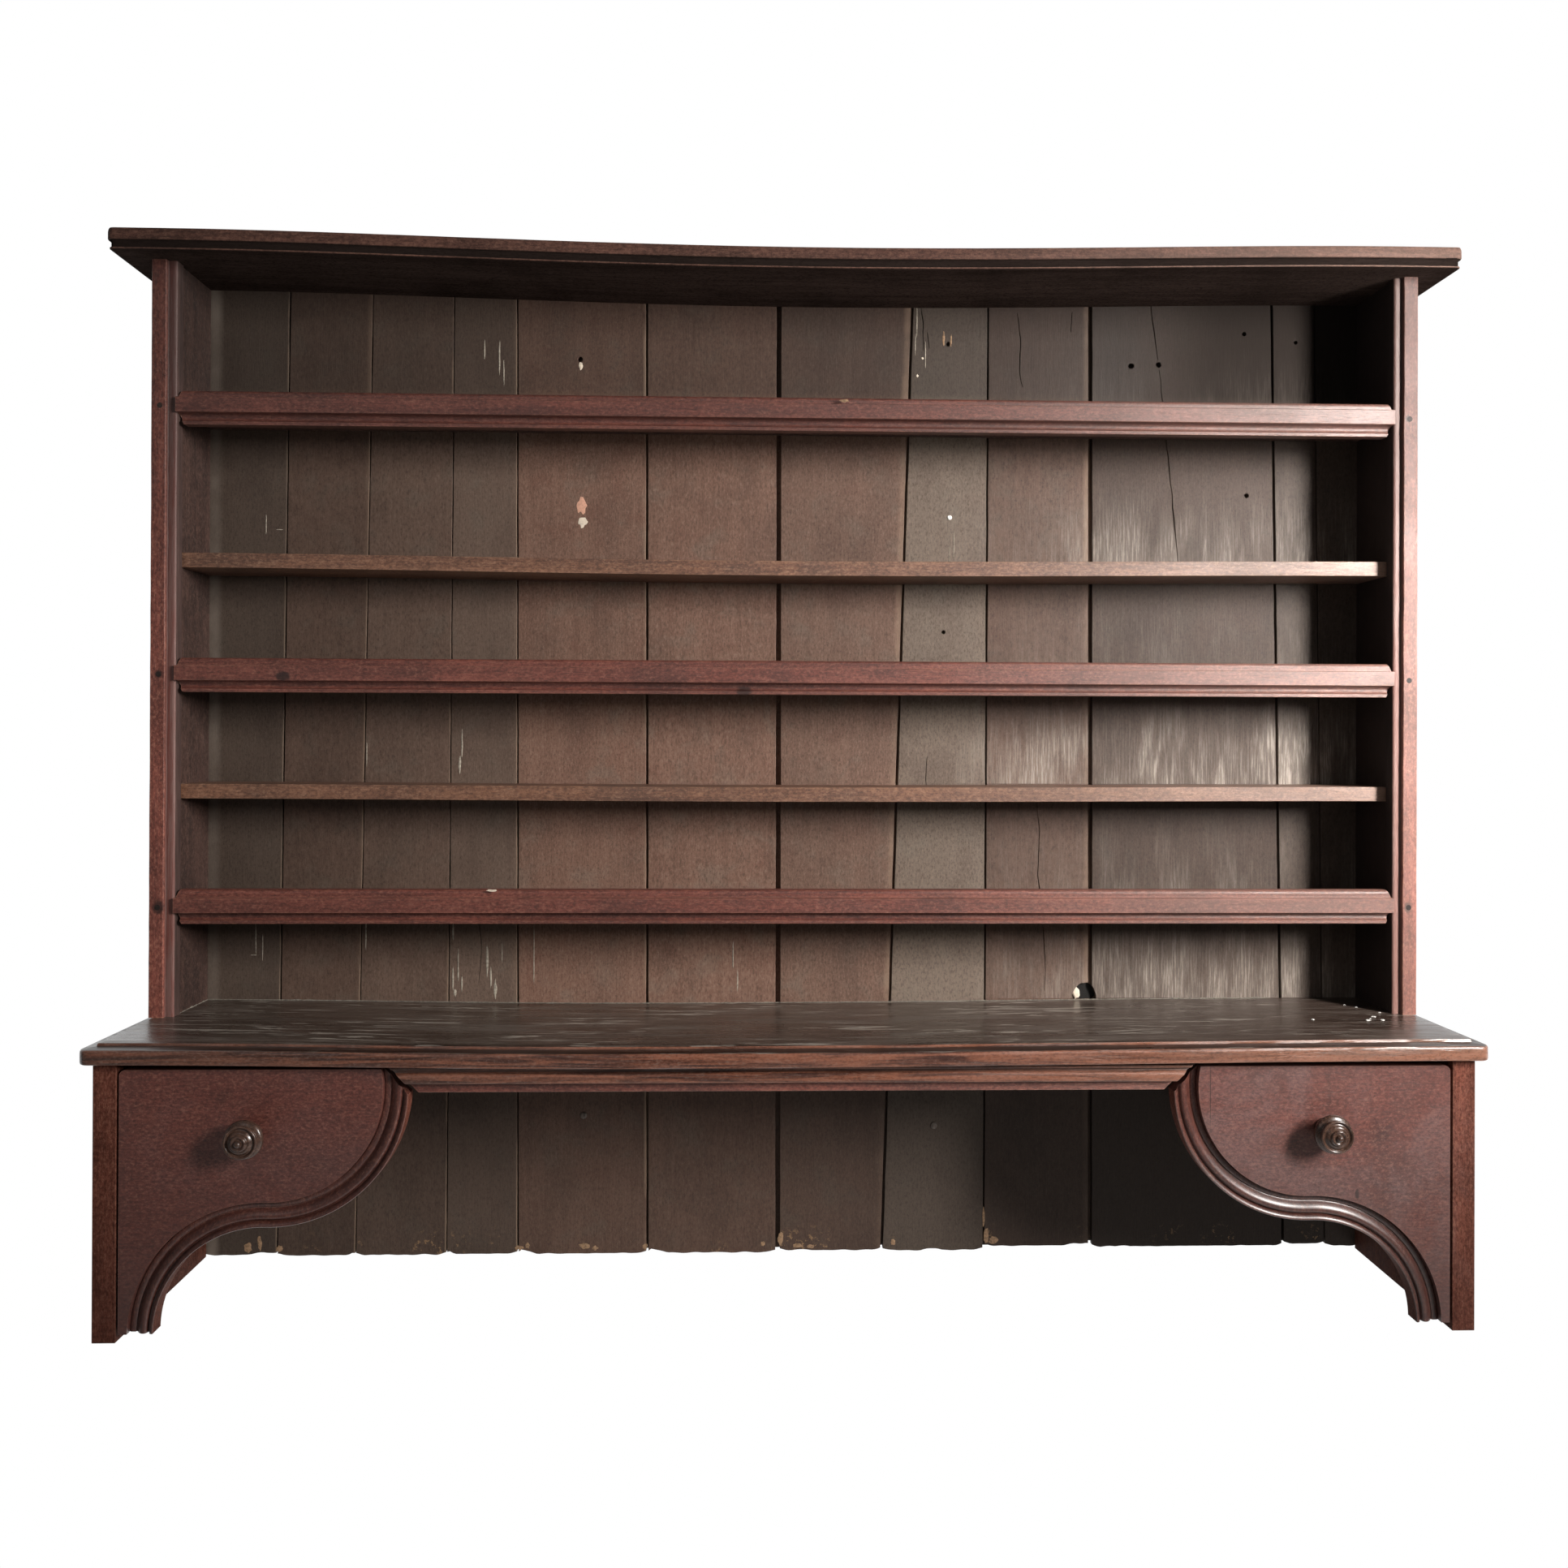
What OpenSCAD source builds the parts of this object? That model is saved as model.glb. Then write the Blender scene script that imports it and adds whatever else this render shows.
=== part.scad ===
// Open wall rack with a deep worktop, five shelves and two scroll-fronted spice drawers.
// X runs to the right along the wall, Y runs away from the wall into it, so the front faces -Y.
// The origin lies on the wall, on the centre line, level with the top of the worktop.

/* [Case] */
// Width over the side boards
case_w = 1620; // [1560:5:1760]
// Thickness of the side boards and of the panels below the worktop
side_t = 27; // [24:1:32]
// Height of the open rack, from the worktop up to the cornice
rack_h = 956; // [900:2:1100]
// Depth of the rack, from the wall to the front of the stiles
rack_d = 119; // [110:1:150]
// Height of the panels below the worktop
base_h = 324; // [324:2:380]
// Depth of the panels below the worktop
base_d = 243; // [230:1:290]

/* [Cornice] */
// Thickness of the cornice board
cornice_t = 26; // [22:0.5:32]
// Height of the plain front band of the cornice
cornice_band_h = 15; // [12:0.5:16]
// How far the cornice stands out past the side boards
cornice_side_over = 40; // [25:1:55]
// How far the cornice stands out in front of the stiles
cornice_front_over = 34; // [20:1:45]
// How far the foot of the cornice edge is stepped back
cornice_step = 4; // [2:0.5:7]
// Sag of the cornice at the middle of its length
cornice_sag = 12; // [0:1:14]

/* [Worktop] */
// Thickness of the worktop
worktop_t = 22; // [20:0.5:30]
// Height of the step above the nose of the worktop
nose_step_h = 5; // [3:0.5:7]
// Width of the step above the nose of the worktop
nose_step_w = 13; // [8:0.5:18]
// How far the worktop stands out past the side boards
worktop_side_over = 12; // [6:1:14]
// How far the worktop stands out in front of the panels below it
worktop_front_over = 15; // [12:1:24]
// Sag of the worktop at its lowest point
worktop_sag = 6; // [0:1:7]

/* [Face frame] */
// Width of the stiles on the front edges of the side boards
stile_w = 30; // [28:1:36]
// Thickness of the stiles and rails
stile_t = 20; // [18:1:24]
// Height of the rails
rail_h = 43.5; // [40:0.5:50]
// Height of the flat band of a rail
rail_band_h = 19; // [15:0.5:22]
// Height of the bead along the top of a rail
rail_bead_h = 10; // [8:0.5:12]
// How far the bead and the foot of a rail lie behind its band
rail_step = 7; // [4:0.5:9]
// Diameter of the pegs through the stiles
peg_d = 7; // [5:0.5:9]
// How deep the pegs go into the side boards
peg_depth = 25; // [15:1:40]

/* [Shelves] */
// Thickness of the two plain shelves
shelf_t = 19; // [15:0.5:22]
// Thickness of the three shelves behind the rails
rail_shelf_t = 15; // [12:0.5:18]
// How far a rail stands up above its shelf
rail_lip = 10.5; // [6:0.5:13]
// How far the front edge of a plain shelf lies behind the stiles
shelf_setback = 23; // [20:1:35]
// Depth of the shelf housings in the side boards
housing_d = 8; // [4:0.5:10]
// Height of the underside of the lowest rail
rail_low_z = 117; // [90:1:170]
// Height of the underside of the lower plain shelf
shelf_low_z = 275; // [250:1:340]
// Height of the underside of the middle rail
rail_mid_z = 411; // [390:1:480]
// Height of the underside of the upper plain shelf
shelf_high_z = 571; // [540:1:660]
// Height of the underside of the top rail
rail_high_z = 750; // [715:1:800]
// Sag of the upper plain shelf, and twice that of the lower one
shelf_sag = 5; // [0:0.5:7]

/* [Back boards] */
// Thickness of the back boards
board_t = 16; // [12:0.5:18]
// Depth of the rebate that takes the back boards, across the thickness of the sides
rebate_w = 10; // [6:0.5:12]
// Overlap of the rebated joint between two back boards
board_lap = 9; // [6:0.5:12]
// How far the back boards run up behind the cornice
board_rise = 8; // [4:0.5:12]
// Radius of the mouse hole at the worktop
mouse_r = 15; // [10:0.5:20]

/* [Wall holes] */
// Diameter of the holes for the wall screws
wall_hole_d = 7; // [5:0.5:10]
// Place of the left column of wall holes
wall_hole_left_x = -283; // [-300:1:-270]
// Place of the right column of wall holes
wall_hole_right_x = 215; // [205:1:240]
// Height of the upper wall holes
wall_hole_high_z = 870; // [840:1:885]
// Height of the wall holes between the shelves
wall_hole_mid_z = 662; // [635:1:700]
// Depth of the lower wall holes below the worktop
wall_hole_low_z = -166; // [-250:1:-100]

/* [Drawers] */
// Width of a drawer front at its widest
drawer_w = 331; // [310:1:350]
// Height of a drawer front
drawer_h = 305; // [296:1:314]
// Thickness of a drawer front
front_t = 20; // [18:0.5:24]
// Gap between a drawer front and the panel beside it
drawer_gap = 3; // [2:0.5:5]
// Gap between a drawer front and the worktop above it
drawer_top_gap = 9; // [8:0.5:12]
// Radius of the round belly of the scroll
belly_r = 159; // [150:1:162]
// Depth of the middle of the belly below the top of the front
belly_drop = 24; // [20:1:30]
// Radius of the hollow of the scroll above the foot
hollow_r = 125; // [118:1:128]
// Width of the foot of a drawer front
foot_w = 39; // [37:1:46]
// Width of the cut corner at the inner top of a drawer front
corner_cut = 30; // [20:1:40]
// Gap between the cut corner and the apron
corner_gap = 8; // [4:0.5:14]
// Width of the moulded edge of a scroll
band_w = 29; // [26:0.5:34]
// Radius of the rounded outer top corner
corner_r = 7; // [3:0.5:12]

/* [Drawer boxes] */
// Width of a drawer box
box_w = 219; // [200:1:222]
// Height of a drawer box
box_h = 106; // [90:1:112]
// How far the top of a box lies below the top of its front
box_top_drop = 5; // [3:0.5:8]
// Thickness of the sides and the back of a box
box_side_t = 10; // [8:0.5:12]
// Thickness of the bottom of a box
box_bottom_t = 7; // [5:0.5:8]
// Depth of the grooves for the bottom
groove_d = 5; // [3:0.5:6]
// Height of the bottom above the lower edge of the sides
bottom_rise = 7; // [5:0.5:10]
// How deep the sides are let into the front
lap_d = 9; // [6:0.5:12]
// Gap between the box and what it slides between
box_gap = 3; // [2:0.5:5]
// Gap between the back of a box and the back boards
box_back_gap = 6; // [3:0.5:10]
// Running gap between a box and its runners
run_gap = 0.3; // [0.2:0.1:0.5]
// Height of the runners
runner_h = 12; // [10:0.5:16]
// Width of the runners
runner_w = 15; // [12:0.5:18]
// Thickness of the dividers beside the drawers
divider_t = 18; // [15:0.5:20]

/* [Apron] */
// Height of the apron below the worktop
apron_h = 38; // [30:0.5:44]
// Thickness of the apron board
apron_t = 18; // [15:0.5:22]
// Height of the moulding on the apron
apron_mould_h = 26; // [22:0.5:28]
// How far the moulding stands out from the apron board
apron_mould_d = 10; // [7:0.5:12]
// How far the face of the apron board lies behind the drawer fronts
apron_setback = 6; // [4:0.5:10]

/* [Knobs] */
// Largest diameter of a knob
knob_d = 45; // [38:0.5:50]
// How far a knob stands out from its drawer
knob_out = 40; // [36:0.5:46]
// Diameter of the spigot that holds a knob
spigot_d = 12; // [9:0.5:14]
// Distance of a knob from the outer edge of its drawer
knob_in = 151; // [130:1:170]
// Depth of a knob below the top of its drawer
knob_drop = 74; // [60:1:80]

/* [Hidden] */
$fn = 96;

// Places that follow from the sizes above
half_case = case_w / 2;
half_in = half_case - side_t;
half_rebate = half_in + rebate_w;
half_stile_in = half_case - stile_w;
cornice_half = half_case + cornice_side_over;
cornice_d = rack_d + cornice_front_over;
cornice_foot_h = cornice_t - cornice_band_h;
cornice_fillet_h = 3.5;
worktop_half = half_case + worktop_side_over;
worktop_d = base_d + worktop_front_over;
side_d = rack_d - stile_t;
shelf_front = rack_d - shelf_setback;
base_bottom = -worktop_t - base_h;
board_top = rack_h + board_rise;
drawer_top = -worktop_t - drawer_top_gap;
drawer_edge = half_in - drawer_gap;
belly_x = drawer_w - belly_r;
hollow_x = foot_w + hollow_r;
hollow_drop = belly_drop + sqrt(pow(belly_r + hollow_r, 2) - pow(belly_x - hollow_x, 2));
box_top = drawer_top - box_top_drop;
box_bottom = box_top - box_h;
box_front = base_d - front_t;
box_back = board_t + box_back_gap;
box_inner = drawer_edge - box_w;
divider_outer = box_inner - box_gap;
divider_inner = divider_outer - divider_t;
divider_front = box_front - 0.5;
runner_top = box_bottom - run_gap;
runner_bottom = runner_top - runner_h;
knob_x = drawer_edge - knob_in;
knob_z = drawer_top - knob_drop;

// Joints between the back boards, left to right, at the top and at the bottom, and their open gaps.
// They are places on a rack that is seam_drawn_half wide from its middle, and widen with the rack.
seam_drawn_half = 783;
seam_top = [-677, -566, -457, -372, -197, -17, 166, 270, 411, 663, 723];
seam_bottom = [-689, -584, -462, -366, -191, -14, 128, 268, 415, 683, 741];
seam_gap = [1.5, 1, 1, 1.5, 2.5, 6, 3, 2, 5, 3, 1];
// How much each back board falls short of the foot of the panels
board_short = [1, 0, 0, 0.5, 0, 0, 2, 1, 6, 4, 6, 3];
rear_gap = 0.4;
mouse_x = 406 * half_in / seam_drawn_half;
mouse_z = 4;
glue_gap = 0.1;
cut_over = 1;

dark_wood = [0.30, 0.17, 0.14];
red_wood = [0.38, 0.22, 0.18];
grey_wood = [0.30, 0.26, 0.22];
pale_wood = [0.48, 0.36, 0.24];
horn = [0.25, 0.17, 0.11];

// Drop of a board that has sagged between the stiles, lowest at low_x
function bow(x, sag, low_x) =
    let (span = x < low_x ? half_stile_in + low_x : half_stile_in - low_x)
    let (t = min(1, abs(x - low_x) / span))
    -sag * pow(1 - t * t, 2);

function bow_steps(low_x, n) = [
    for (i = [0 : n]) -half_stile_in + (half_stile_in + low_x) * i / n,
    for (i = [1 : n]) low_x + (half_stile_in - low_x) * i / n
];

// A block between two corners
module block(x0, x1, y0, y1, z0, z1) {
    translate([min(x0, x1), min(y0, y1), min(z0, z1)])
        cube([abs(x1 - x0), abs(y1 - y0), abs(z1 - z0)]);
}

// Everything is drawn for the left side, and mirrored for the right one
module handed(right) {
    if (right) mirror([1, 0, 0]) children();
    else children();
}

// A sagging layer from z0 to z1, from end to end and from the wall out to depth d
module bowed_layer(half_w, d, z0, z1, sag, low_x) {
    xs = concat([-half_w], bow_steps(low_x, 12), [half_w]);
    lower = [for (x = xs) [x, z0 + bow(x, sag, low_x)]];
    upper = [for (x = xs) [x, z1 + bow(x, sag, low_x)]];
    upper_back = [for (i = [len(upper) - 1 : -1 : 0]) upper[i]];
    rotate([90, 0, 0])
        linear_extrude(d)
            polygon(concat(lower, upper_back));
}

// Plan of a board against the wall with round front corners
module board_plan(half_w, d, r) {
    difference() {
        translate([-half_w, -d]) square([2 * half_w, d]);
        for (s = [-1, 1])
            translate([s * (half_w - r), -d + r])
                difference() {
                    translate([s > 0 ? 0 : -2 * r, -2 * r]) square(2 * r);
                    circle(r);
                }
    }
}

module edge_layer(half_w, d, r, z0, z1, sag, low_x) {
    intersection() {
        bowed_layer(half_w, d, z0, z1, sag, low_x);
        translate([0, 0, z0 - sag - cut_over])
            linear_extrude(z1 - z0 + sag + 2 * cut_over)
                board_plan(half_w, d, r);
    }
}

// Room for the back boards behind a board that runs from side to side
module back_room(z0, z1) {
    block(-half_rebate, half_rebate, cut_over, -board_t, z0, z1);
}

module cornice_board() {
    low_x = 20;
    color(dark_wood)
    difference() {
        translate([0, 0, rack_h]) union() {
            edge_layer(cornice_half - cornice_step, cornice_d - cornice_step, 7,
                0, cornice_fillet_h, cornice_sag, low_x);
            edge_layer(cornice_half - cornice_step - 2, cornice_d - cornice_step - 2, 6,
                cornice_fillet_h, cornice_foot_h, cornice_sag, low_x);
            edge_layer(cornice_half, cornice_d, 9, cornice_foot_h, cornice_t, cornice_sag, low_x);
        }
        back_room(rack_h - cornice_sag - cut_over, rack_h + cornice_t + cut_over);
    }
}

module worktop_blank() {
    low_x = -200;
    mid_h = nose_step_h * 0.4;
    edge_layer(worktop_half, worktop_d, 4, -worktop_t, -nose_step_h, worktop_sag, low_x);
    edge_layer(worktop_half - nose_step_w / 3, worktop_d - nose_step_w / 3, 4,
        -nose_step_h, -mid_h, worktop_sag, low_x);
    edge_layer(worktop_half - nose_step_w, worktop_d - nose_step_w, 2, -mid_h, 0, worktop_sag, low_x);
}

module worktop() {
    color(dark_wood)
    difference() {
        worktop_blank();
        back_room(-worktop_t - worktop_sag - cut_over, cut_over);
    }
}

// Grooves for the five shelves in the inner face of a side board
module shelf_housings() {
    for (z = [rail_low_z, rail_mid_z, rail_high_z])
        block(-half_in - housing_d, -half_in + cut_over, -board_t, -side_d - cut_over,
            z + rail_h - rail_lip - rail_shelf_t, z + rail_h - rail_lip);
    for (z = [shelf_low_z, shelf_high_z])
        block(-half_in - housing_d, -half_in + cut_over, -board_t, -shelf_front, z, z + shelf_t);
}

module side_rebate(z0, z1) {
    block(-half_rebate, -half_in + cut_over, cut_over, -board_t, z0, z1);
}

module side_board(right) {
    color(dark_wood)
    handed(right)
    difference() {
        block(-half_case, -half_in, 0, -side_d, 0, rack_h);
        side_rebate(-cut_over, rack_h + cut_over);
        shelf_housings();
        peg_row(peg_d);
    }
}

// The pegs that fix a stile to its side board
module peg_row(d) {
    x = -half_case + side_t * 0.4;
    for (z = [rail_low_z, rail_mid_z, rail_high_z])
        translate([x, -rack_d, z + rail_h / 2])
            rotate([-90, 0, 0])
                cylinder(h = stile_t + peg_depth, d = d);
}

module stile_pegs() {
    color(horn)
    for (right = [false, true])
        handed(right) peg_row(peg_d);
}

rail_tenon_l = 12;
rail_tenon_t = 8;
rail_tenon_h = 24;

// A tenon on the left end of a rail whose underside is at z
module rail_tenon(z) {
    y_mid = -side_d - (stile_t - rail_step) / 2;
    block(-half_stile_in - rail_tenon_l, -half_stile_in,
        y_mid + rail_tenon_t / 2, y_mid - rail_tenon_t / 2,
        z + (rail_h - rail_tenon_h) / 2, z + (rail_h + rail_tenon_h) / 2);
}

// Plan of a stile: a flat, a hollow and a bead along the inner edge
module stile_plan() {
    bead_w = stile_w * 0.23;
    hollow_w = stile_w * 0.27;
    bead_x = -half_stile_in - bead_w / 2;
    hollow_x = -half_stile_in - bead_w - hollow_w / 2;
    difference() {
        translate([-half_case, -rack_d]) square([stile_w, stile_t]);
        translate([hollow_x, -rack_d]) circle(hollow_w / 2);
        translate([bead_x, -rack_d - 1]) square([bead_w, 1 + bead_w / 2]);
    }
    translate([bead_x, -rack_d + bead_w / 2]) circle(bead_w / 2);
}

module stile(right) {
    color(red_wood)
    handed(right)
    difference() {
        linear_extrude(rack_h) stile_plan();
        for (z = [rail_low_z, rail_mid_z, rail_high_z]) rail_tenon(z);
        peg_row(peg_d);
    }
}

// Profile of a rail, drawn with its face to the left and its underside on the x axis
module rail_profile() {
    foot_h = rail_h - rail_band_h - rail_bead_h;
    fillet_h = 4.5;
    bead_r = rail_bead_h / 2;
    difference() {
        union() {
            translate([rail_step, 0]) square([stile_t - rail_step, rail_h - bead_r]);
            translate([0, foot_h]) square([stile_t, rail_band_h]);
            translate([rail_step + bead_r, rail_h - bead_r]) circle(bead_r);
            translate([rail_step + bead_r, rail_h - bead_r]) square([stile_t - rail_step - bead_r, bead_r]);
        }
        translate([rail_step, (foot_h + fillet_h) / 2]) circle((foot_h - fillet_h) / 2);
    }
}

module rail(z) {
    color(red_wood)
    union() {
        translate([-half_stile_in, -rack_d, z])
            rotate([90, 0, 90])
                linear_extrude(2 * half_stile_in)
                    rail_profile();
        for (right = [false, true])
            handed(right) rail_tenon(z);
    }
}

module rail_shelf(z) {
    color(grey_wood)
    block(-half_in - housing_d, half_in + housing_d, -board_t, -side_d,
        z + rail_h - rail_lip - rail_shelf_t, z + rail_h - rail_lip);
}

module plain_shelf(z, sag) {
    color(pale_wood)
    intersection() {
        translate([0, 0, z])
            bowed_layer(half_in + housing_d, shelf_front, 0, shelf_t, sag, 0);
        block(-half_case, half_case, -board_t, -shelf_front, z - shelf_t, z + 2 * shelf_t);
    }
}

// Place of the joint on the left of back board n at height z
function seam_x(n, z) =
    n == 0 ? -half_rebate :
    n == len(seam_top) + 1 ? half_rebate :
    let (down = (board_top - z) / (board_top - base_bottom))
    (seam_top[n - 1] + (seam_bottom[n - 1] - seam_top[n - 1]) * down) * half_in / seam_drawn_half;

// Half of the open gap in the joint on the left of back board n, and none at the side boards
function half_gap(n, gap) = n == 0 || n == len(seam_top) + 1 ? 0 : gap / 2;

// Front or rear half of a back board, with the rear joints shifted by shift
module board_half(n, y0, y1, left_gap, right_gap, shift) {
    z0 = base_bottom + board_short[n];
    left = half_gap(n, left_gap) + (n == 0 ? 0 : shift);
    right = half_gap(n + 1, right_gap) - (n == len(seam_top) ? 0 : shift);
    rotate([90, 0, 0])
        translate([0, 0, -y0])
            linear_extrude(y0 - y1)
                polygon([
                    [seam_x(n, z0) + left, z0], [seam_x(n + 1, z0) - right, z0],
                    [seam_x(n + 1, board_top) - right, board_top], [seam_x(n, board_top) + left, board_top]
                ]);
}

module wall_holes() {
    for (x = [wall_hole_left_x, wall_hole_right_x])
        for (z = [wall_hole_high_z, wall_hole_mid_z, wall_hole_low_z])
            translate([x, cut_over, z])
                rotate([90, 0, 0])
                    cylinder(h = board_t + 2 * cut_over, d = wall_hole_d);
}

module back_board(n) {
    color(grey_wood)
    difference() {
        union() {
            board_half(n, -board_t / 2, -board_t, seam_gap[n - 1], seam_gap[n], 0);
            board_half(n, 0, -board_t / 2, rear_gap, rear_gap, board_lap);
        }
        wall_holes();
        translate([mouse_x, cut_over, mouse_z])
            rotate([90, 0, 0])
                cylinder(h = board_t + 2 * cut_over, r = mouse_r);
    }
}

module base_panel(right) {
    color(red_wood)
    handed(right)
    difference() {
        block(-half_case, -half_in, 0, -base_d, -worktop_t, base_bottom);
        side_rebate(base_bottom - cut_over, -worktop_t + cut_over);
    }
}

// Half of the apron's length at its top edge under the worktop and lower down
function apron_half(z) =
    drawer_edge - (drawer_w - corner_cut) - corner_gap * sqrt(2) + (z - drawer_top);

// Front view of the apron with both ends cut to follow the drawer corners
module apron_face(z1, z0) {
    polygon([
        [-apron_half(z0), z0], [apron_half(z0), z0],
        [apron_half(z1), z1], [-apron_half(z1), z1]
    ]);
}

apron_bottom = -worktop_t - apron_h;
apron_front = base_d - apron_setback;

module apron_board() {
    color(dark_wood)
    difference() {
        translate([0, -apron_front + apron_t, 0])
            rotate([90, 0, 0])
                linear_extrude(apron_t)
                    apron_face(-worktop_t, apron_bottom);
        worktop_blank();
    }
}

// Profile of the apron moulding, drawn with its face to the left and its top on the x axis
module apron_profile() {
    fillet_h = apron_mould_h * 0.35;
    bead_r = 3;
    hollow_r2 = 5;
    d = apron_mould_d;
    difference() {
        union() {
            translate([0, -fillet_h]) square([d, fillet_h]);
            translate([2, -apron_mould_h]) square([d - 2, apron_mould_h]);
            translate([bead_r, -fillet_h - bead_r]) circle(bead_r);
        }
        translate([2, -apron_mould_h + hollow_r2]) circle(hollow_r2 - 1);
        translate([-cut_over, -apron_mould_h - cut_over]) square([d - 4 + cut_over, 2 + cut_over]);
    }
}

module apron_moulding() {
    reach = apron_half(-worktop_t);
    color(red_wood)
    difference() {
        intersection() {
            translate([-reach, -apron_front - apron_mould_d, -worktop_t])
                rotate([90, 0, 90])
                    linear_extrude(2 * reach)
                        apron_profile();
            translate([0, -apron_front, 0])
                rotate([90, 0, 0])
                    linear_extrude(apron_mould_d)
                        apron_face(-worktop_t, apron_bottom);
        }
        worktop_blank();
    }
}

module divider(right) {
    color(dark_wood)
    difference() {
        handed(right)
            block(-divider_outer, -divider_inner, -board_t, -divider_front, -worktop_t, runner_bottom);
        worktop_blank();
    }
}

module runner_outer(right) {
    color(pale_wood)
    handed(right)
        block(-half_in, -half_in + runner_w, -board_t, -divider_front, runner_top, runner_bottom);
}

module runner_inner(right) {
    color(pale_wood)
    handed(right)
        block(-divider_outer - runner_w, -divider_outer, -board_t, -divider_front,
            runner_top, runner_bottom);
}

// Puts the middle of the belly at the origin, and that of the hollow straight below it
module along_scroll() {
    translate([belly_x, -belly_drop])
        rotate(atan2(hollow_x - belly_x, hollow_drop - belly_drop))
            children();
}

// Front view of a front board: x from its outer edge, y up from its top edge.
// Its scroll edge lies behind the moulded edge.
module scroll_face() {
    difference() {
        union() {
            along_scroll() circle(belly_r - band_w, $fn = 240);
            translate([0, -drawer_h]) square([hollow_x, drawer_h]);
        }
        along_scroll()
            translate([0, -belly_r - hollow_r])
                circle(hollow_r + band_w + glue_gap, $fn = 240);
        translate([-drawer_w, 0]) square([3 * drawer_w, drawer_w]);
        translate([-drawer_w, -2 * drawer_w]) square([drawer_w, 3 * drawer_w]);
        polygon([
            [drawer_w - corner_cut, 0],
            [drawer_w + corner_cut, 0],
            [drawer_w + corner_cut, -2 * corner_cut]
        ]);
        difference() {
            translate([-cut_over, -corner_r]) square([corner_r + cut_over, corner_r + cut_over]);
            translate([corner_r, -corner_r]) circle(corner_r);
        }
    }
}

// Front view of the whole space that a drawer front may fill
module front_room() {
    polygon([
        [0, -drawer_h], [drawer_w + cut_over, -drawer_h],
        [drawer_w + cut_over, -corner_cut - cut_over],
        [drawer_w - corner_cut, 0], [0, 0]
    ]);
}

// Stands a front view up as the left drawer's front
module stand_front() {
    translate([-drawer_edge, -box_front, drawer_top])
        rotate([90, 0, 0])
            children();
}

module box_side_outer() {
    block(-drawer_edge, -drawer_edge + box_side_t, -box_back, -box_front - lap_d, box_bottom, box_top);
}

module box_side_inner() {
    block(-box_inner - box_side_t, -box_inner, -box_back, -box_front - lap_d, box_bottom, box_top);
}

bottom_z = box_bottom + bottom_rise;

module box_bottom_panel() {
    block(-drawer_edge + box_side_t - groove_d, -box_inner - box_side_t + groove_d,
        -box_back, -box_front - groove_d, bottom_z, bottom_z + box_bottom_t);
}

module drawer_front(right) {
    color(red_wood)
    handed(right)
    difference() {
        stand_front() linear_extrude(front_t) scroll_face();
        box_side_outer();
        box_side_inner();
        box_bottom_panel();
        translate([-knob_x, -box_front + cut_over, knob_z])
            rotate([90, 0, 0])
                cylinder(h = front_t + 2 * cut_over, d = spigot_d + glue_gap);
    }
}

// Profile of the moulded edge: x in from the scroll edge, y out from the back of the front
module scroll_profile() {
    outer_r = band_w * 0.155;
    inner_r = band_w * 0.19;
    quirk = band_w * 0.085;
    outer_top = front_t * 0.85;
    square([band_w, front_t * 0.55]);
    square([2 * outer_r, outer_top - outer_r]);
    translate([outer_r, outer_top - outer_r]) circle(outer_r);
    translate([band_w - quirk - 2 * inner_r, 0]) square([2 * inner_r, front_t - inner_r]);
    translate([band_w - quirk - inner_r, front_t - inner_r]) circle(inner_r);
}

module drawer_moulding(right) {
    color(red_wood)
    handed(right)
    stand_front()
    intersection() {
        translate([0, 0, -cut_over]) linear_extrude(front_t + 2 * cut_over) front_room();
        along_scroll() {
            rotate([0, 0, -90])
                rotate_extrude(angle = 110, $fn = 240)
                    translate([belly_r, 0]) mirror([1, 0]) scroll_profile();
            translate([0, -belly_r - hollow_r, 0])
                rotate([0, 0, 90])
                    rotate_extrude(angle = 110, $fn = 240)
                        translate([hollow_r, 0]) scroll_profile();
        }
    }
}

module drawer_side(right, outer) {
    color(pale_wood)
    handed(right)
    difference() {
        if (outer) box_side_outer();
        else box_side_inner();
        box_bottom_panel();
    }
}

module drawer_back(right) {
    color(pale_wood)
    handed(right)
        block(-drawer_edge + box_side_t, -box_inner - box_side_t, -box_back, -box_back - box_side_t,
            bottom_z + box_bottom_t, box_top);
}

module drawer_bottom(right) {
    color(pale_wood)
    handed(right) box_bottom_panel();
}

// Half section of a knob: x out from its axis, y out from the drawer front
module knob_section() {
    r = knob_d / 2;
    translate([0, -front_t]) square([spigot_d / 2, front_t + 8]);
    square([11, 4]);
    translate([10, 5.5]) circle(3);
    square([9, knob_out - 10]);
    translate([11, knob_out - 26]) circle(3.6);
    square([11, knob_out - 23]);
    translate([0, knob_out - 23]) square([r - 8, 15]);
    translate([r - 5.5, knob_out - 17]) circle(5.5);
    translate([0, knob_out - 21]) square([r - 5.5, 9]);
    translate([r - 7, knob_out - 10]) circle(2);
    translate([0, knob_out - 14]) square([r - 7, 5.5]);
    translate([9, knob_out - 8.5]) circle(2.6);
    square([9, knob_out - 6.5]);
    translate([6, knob_out - 5.5]) circle(1.7);
    square([6, knob_out - 5]);
    intersection() {
        translate([0, knob_out - 5]) circle(5);
        translate([0, knob_out - 10]) square(12);
    }
}

module drawer_knob(right) {
    color(horn)
    handed(right)
    translate([-knob_x, -base_d, knob_z])
        rotate([90, 0, 0])
            rotate_extrude() knob_section();
}

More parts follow.
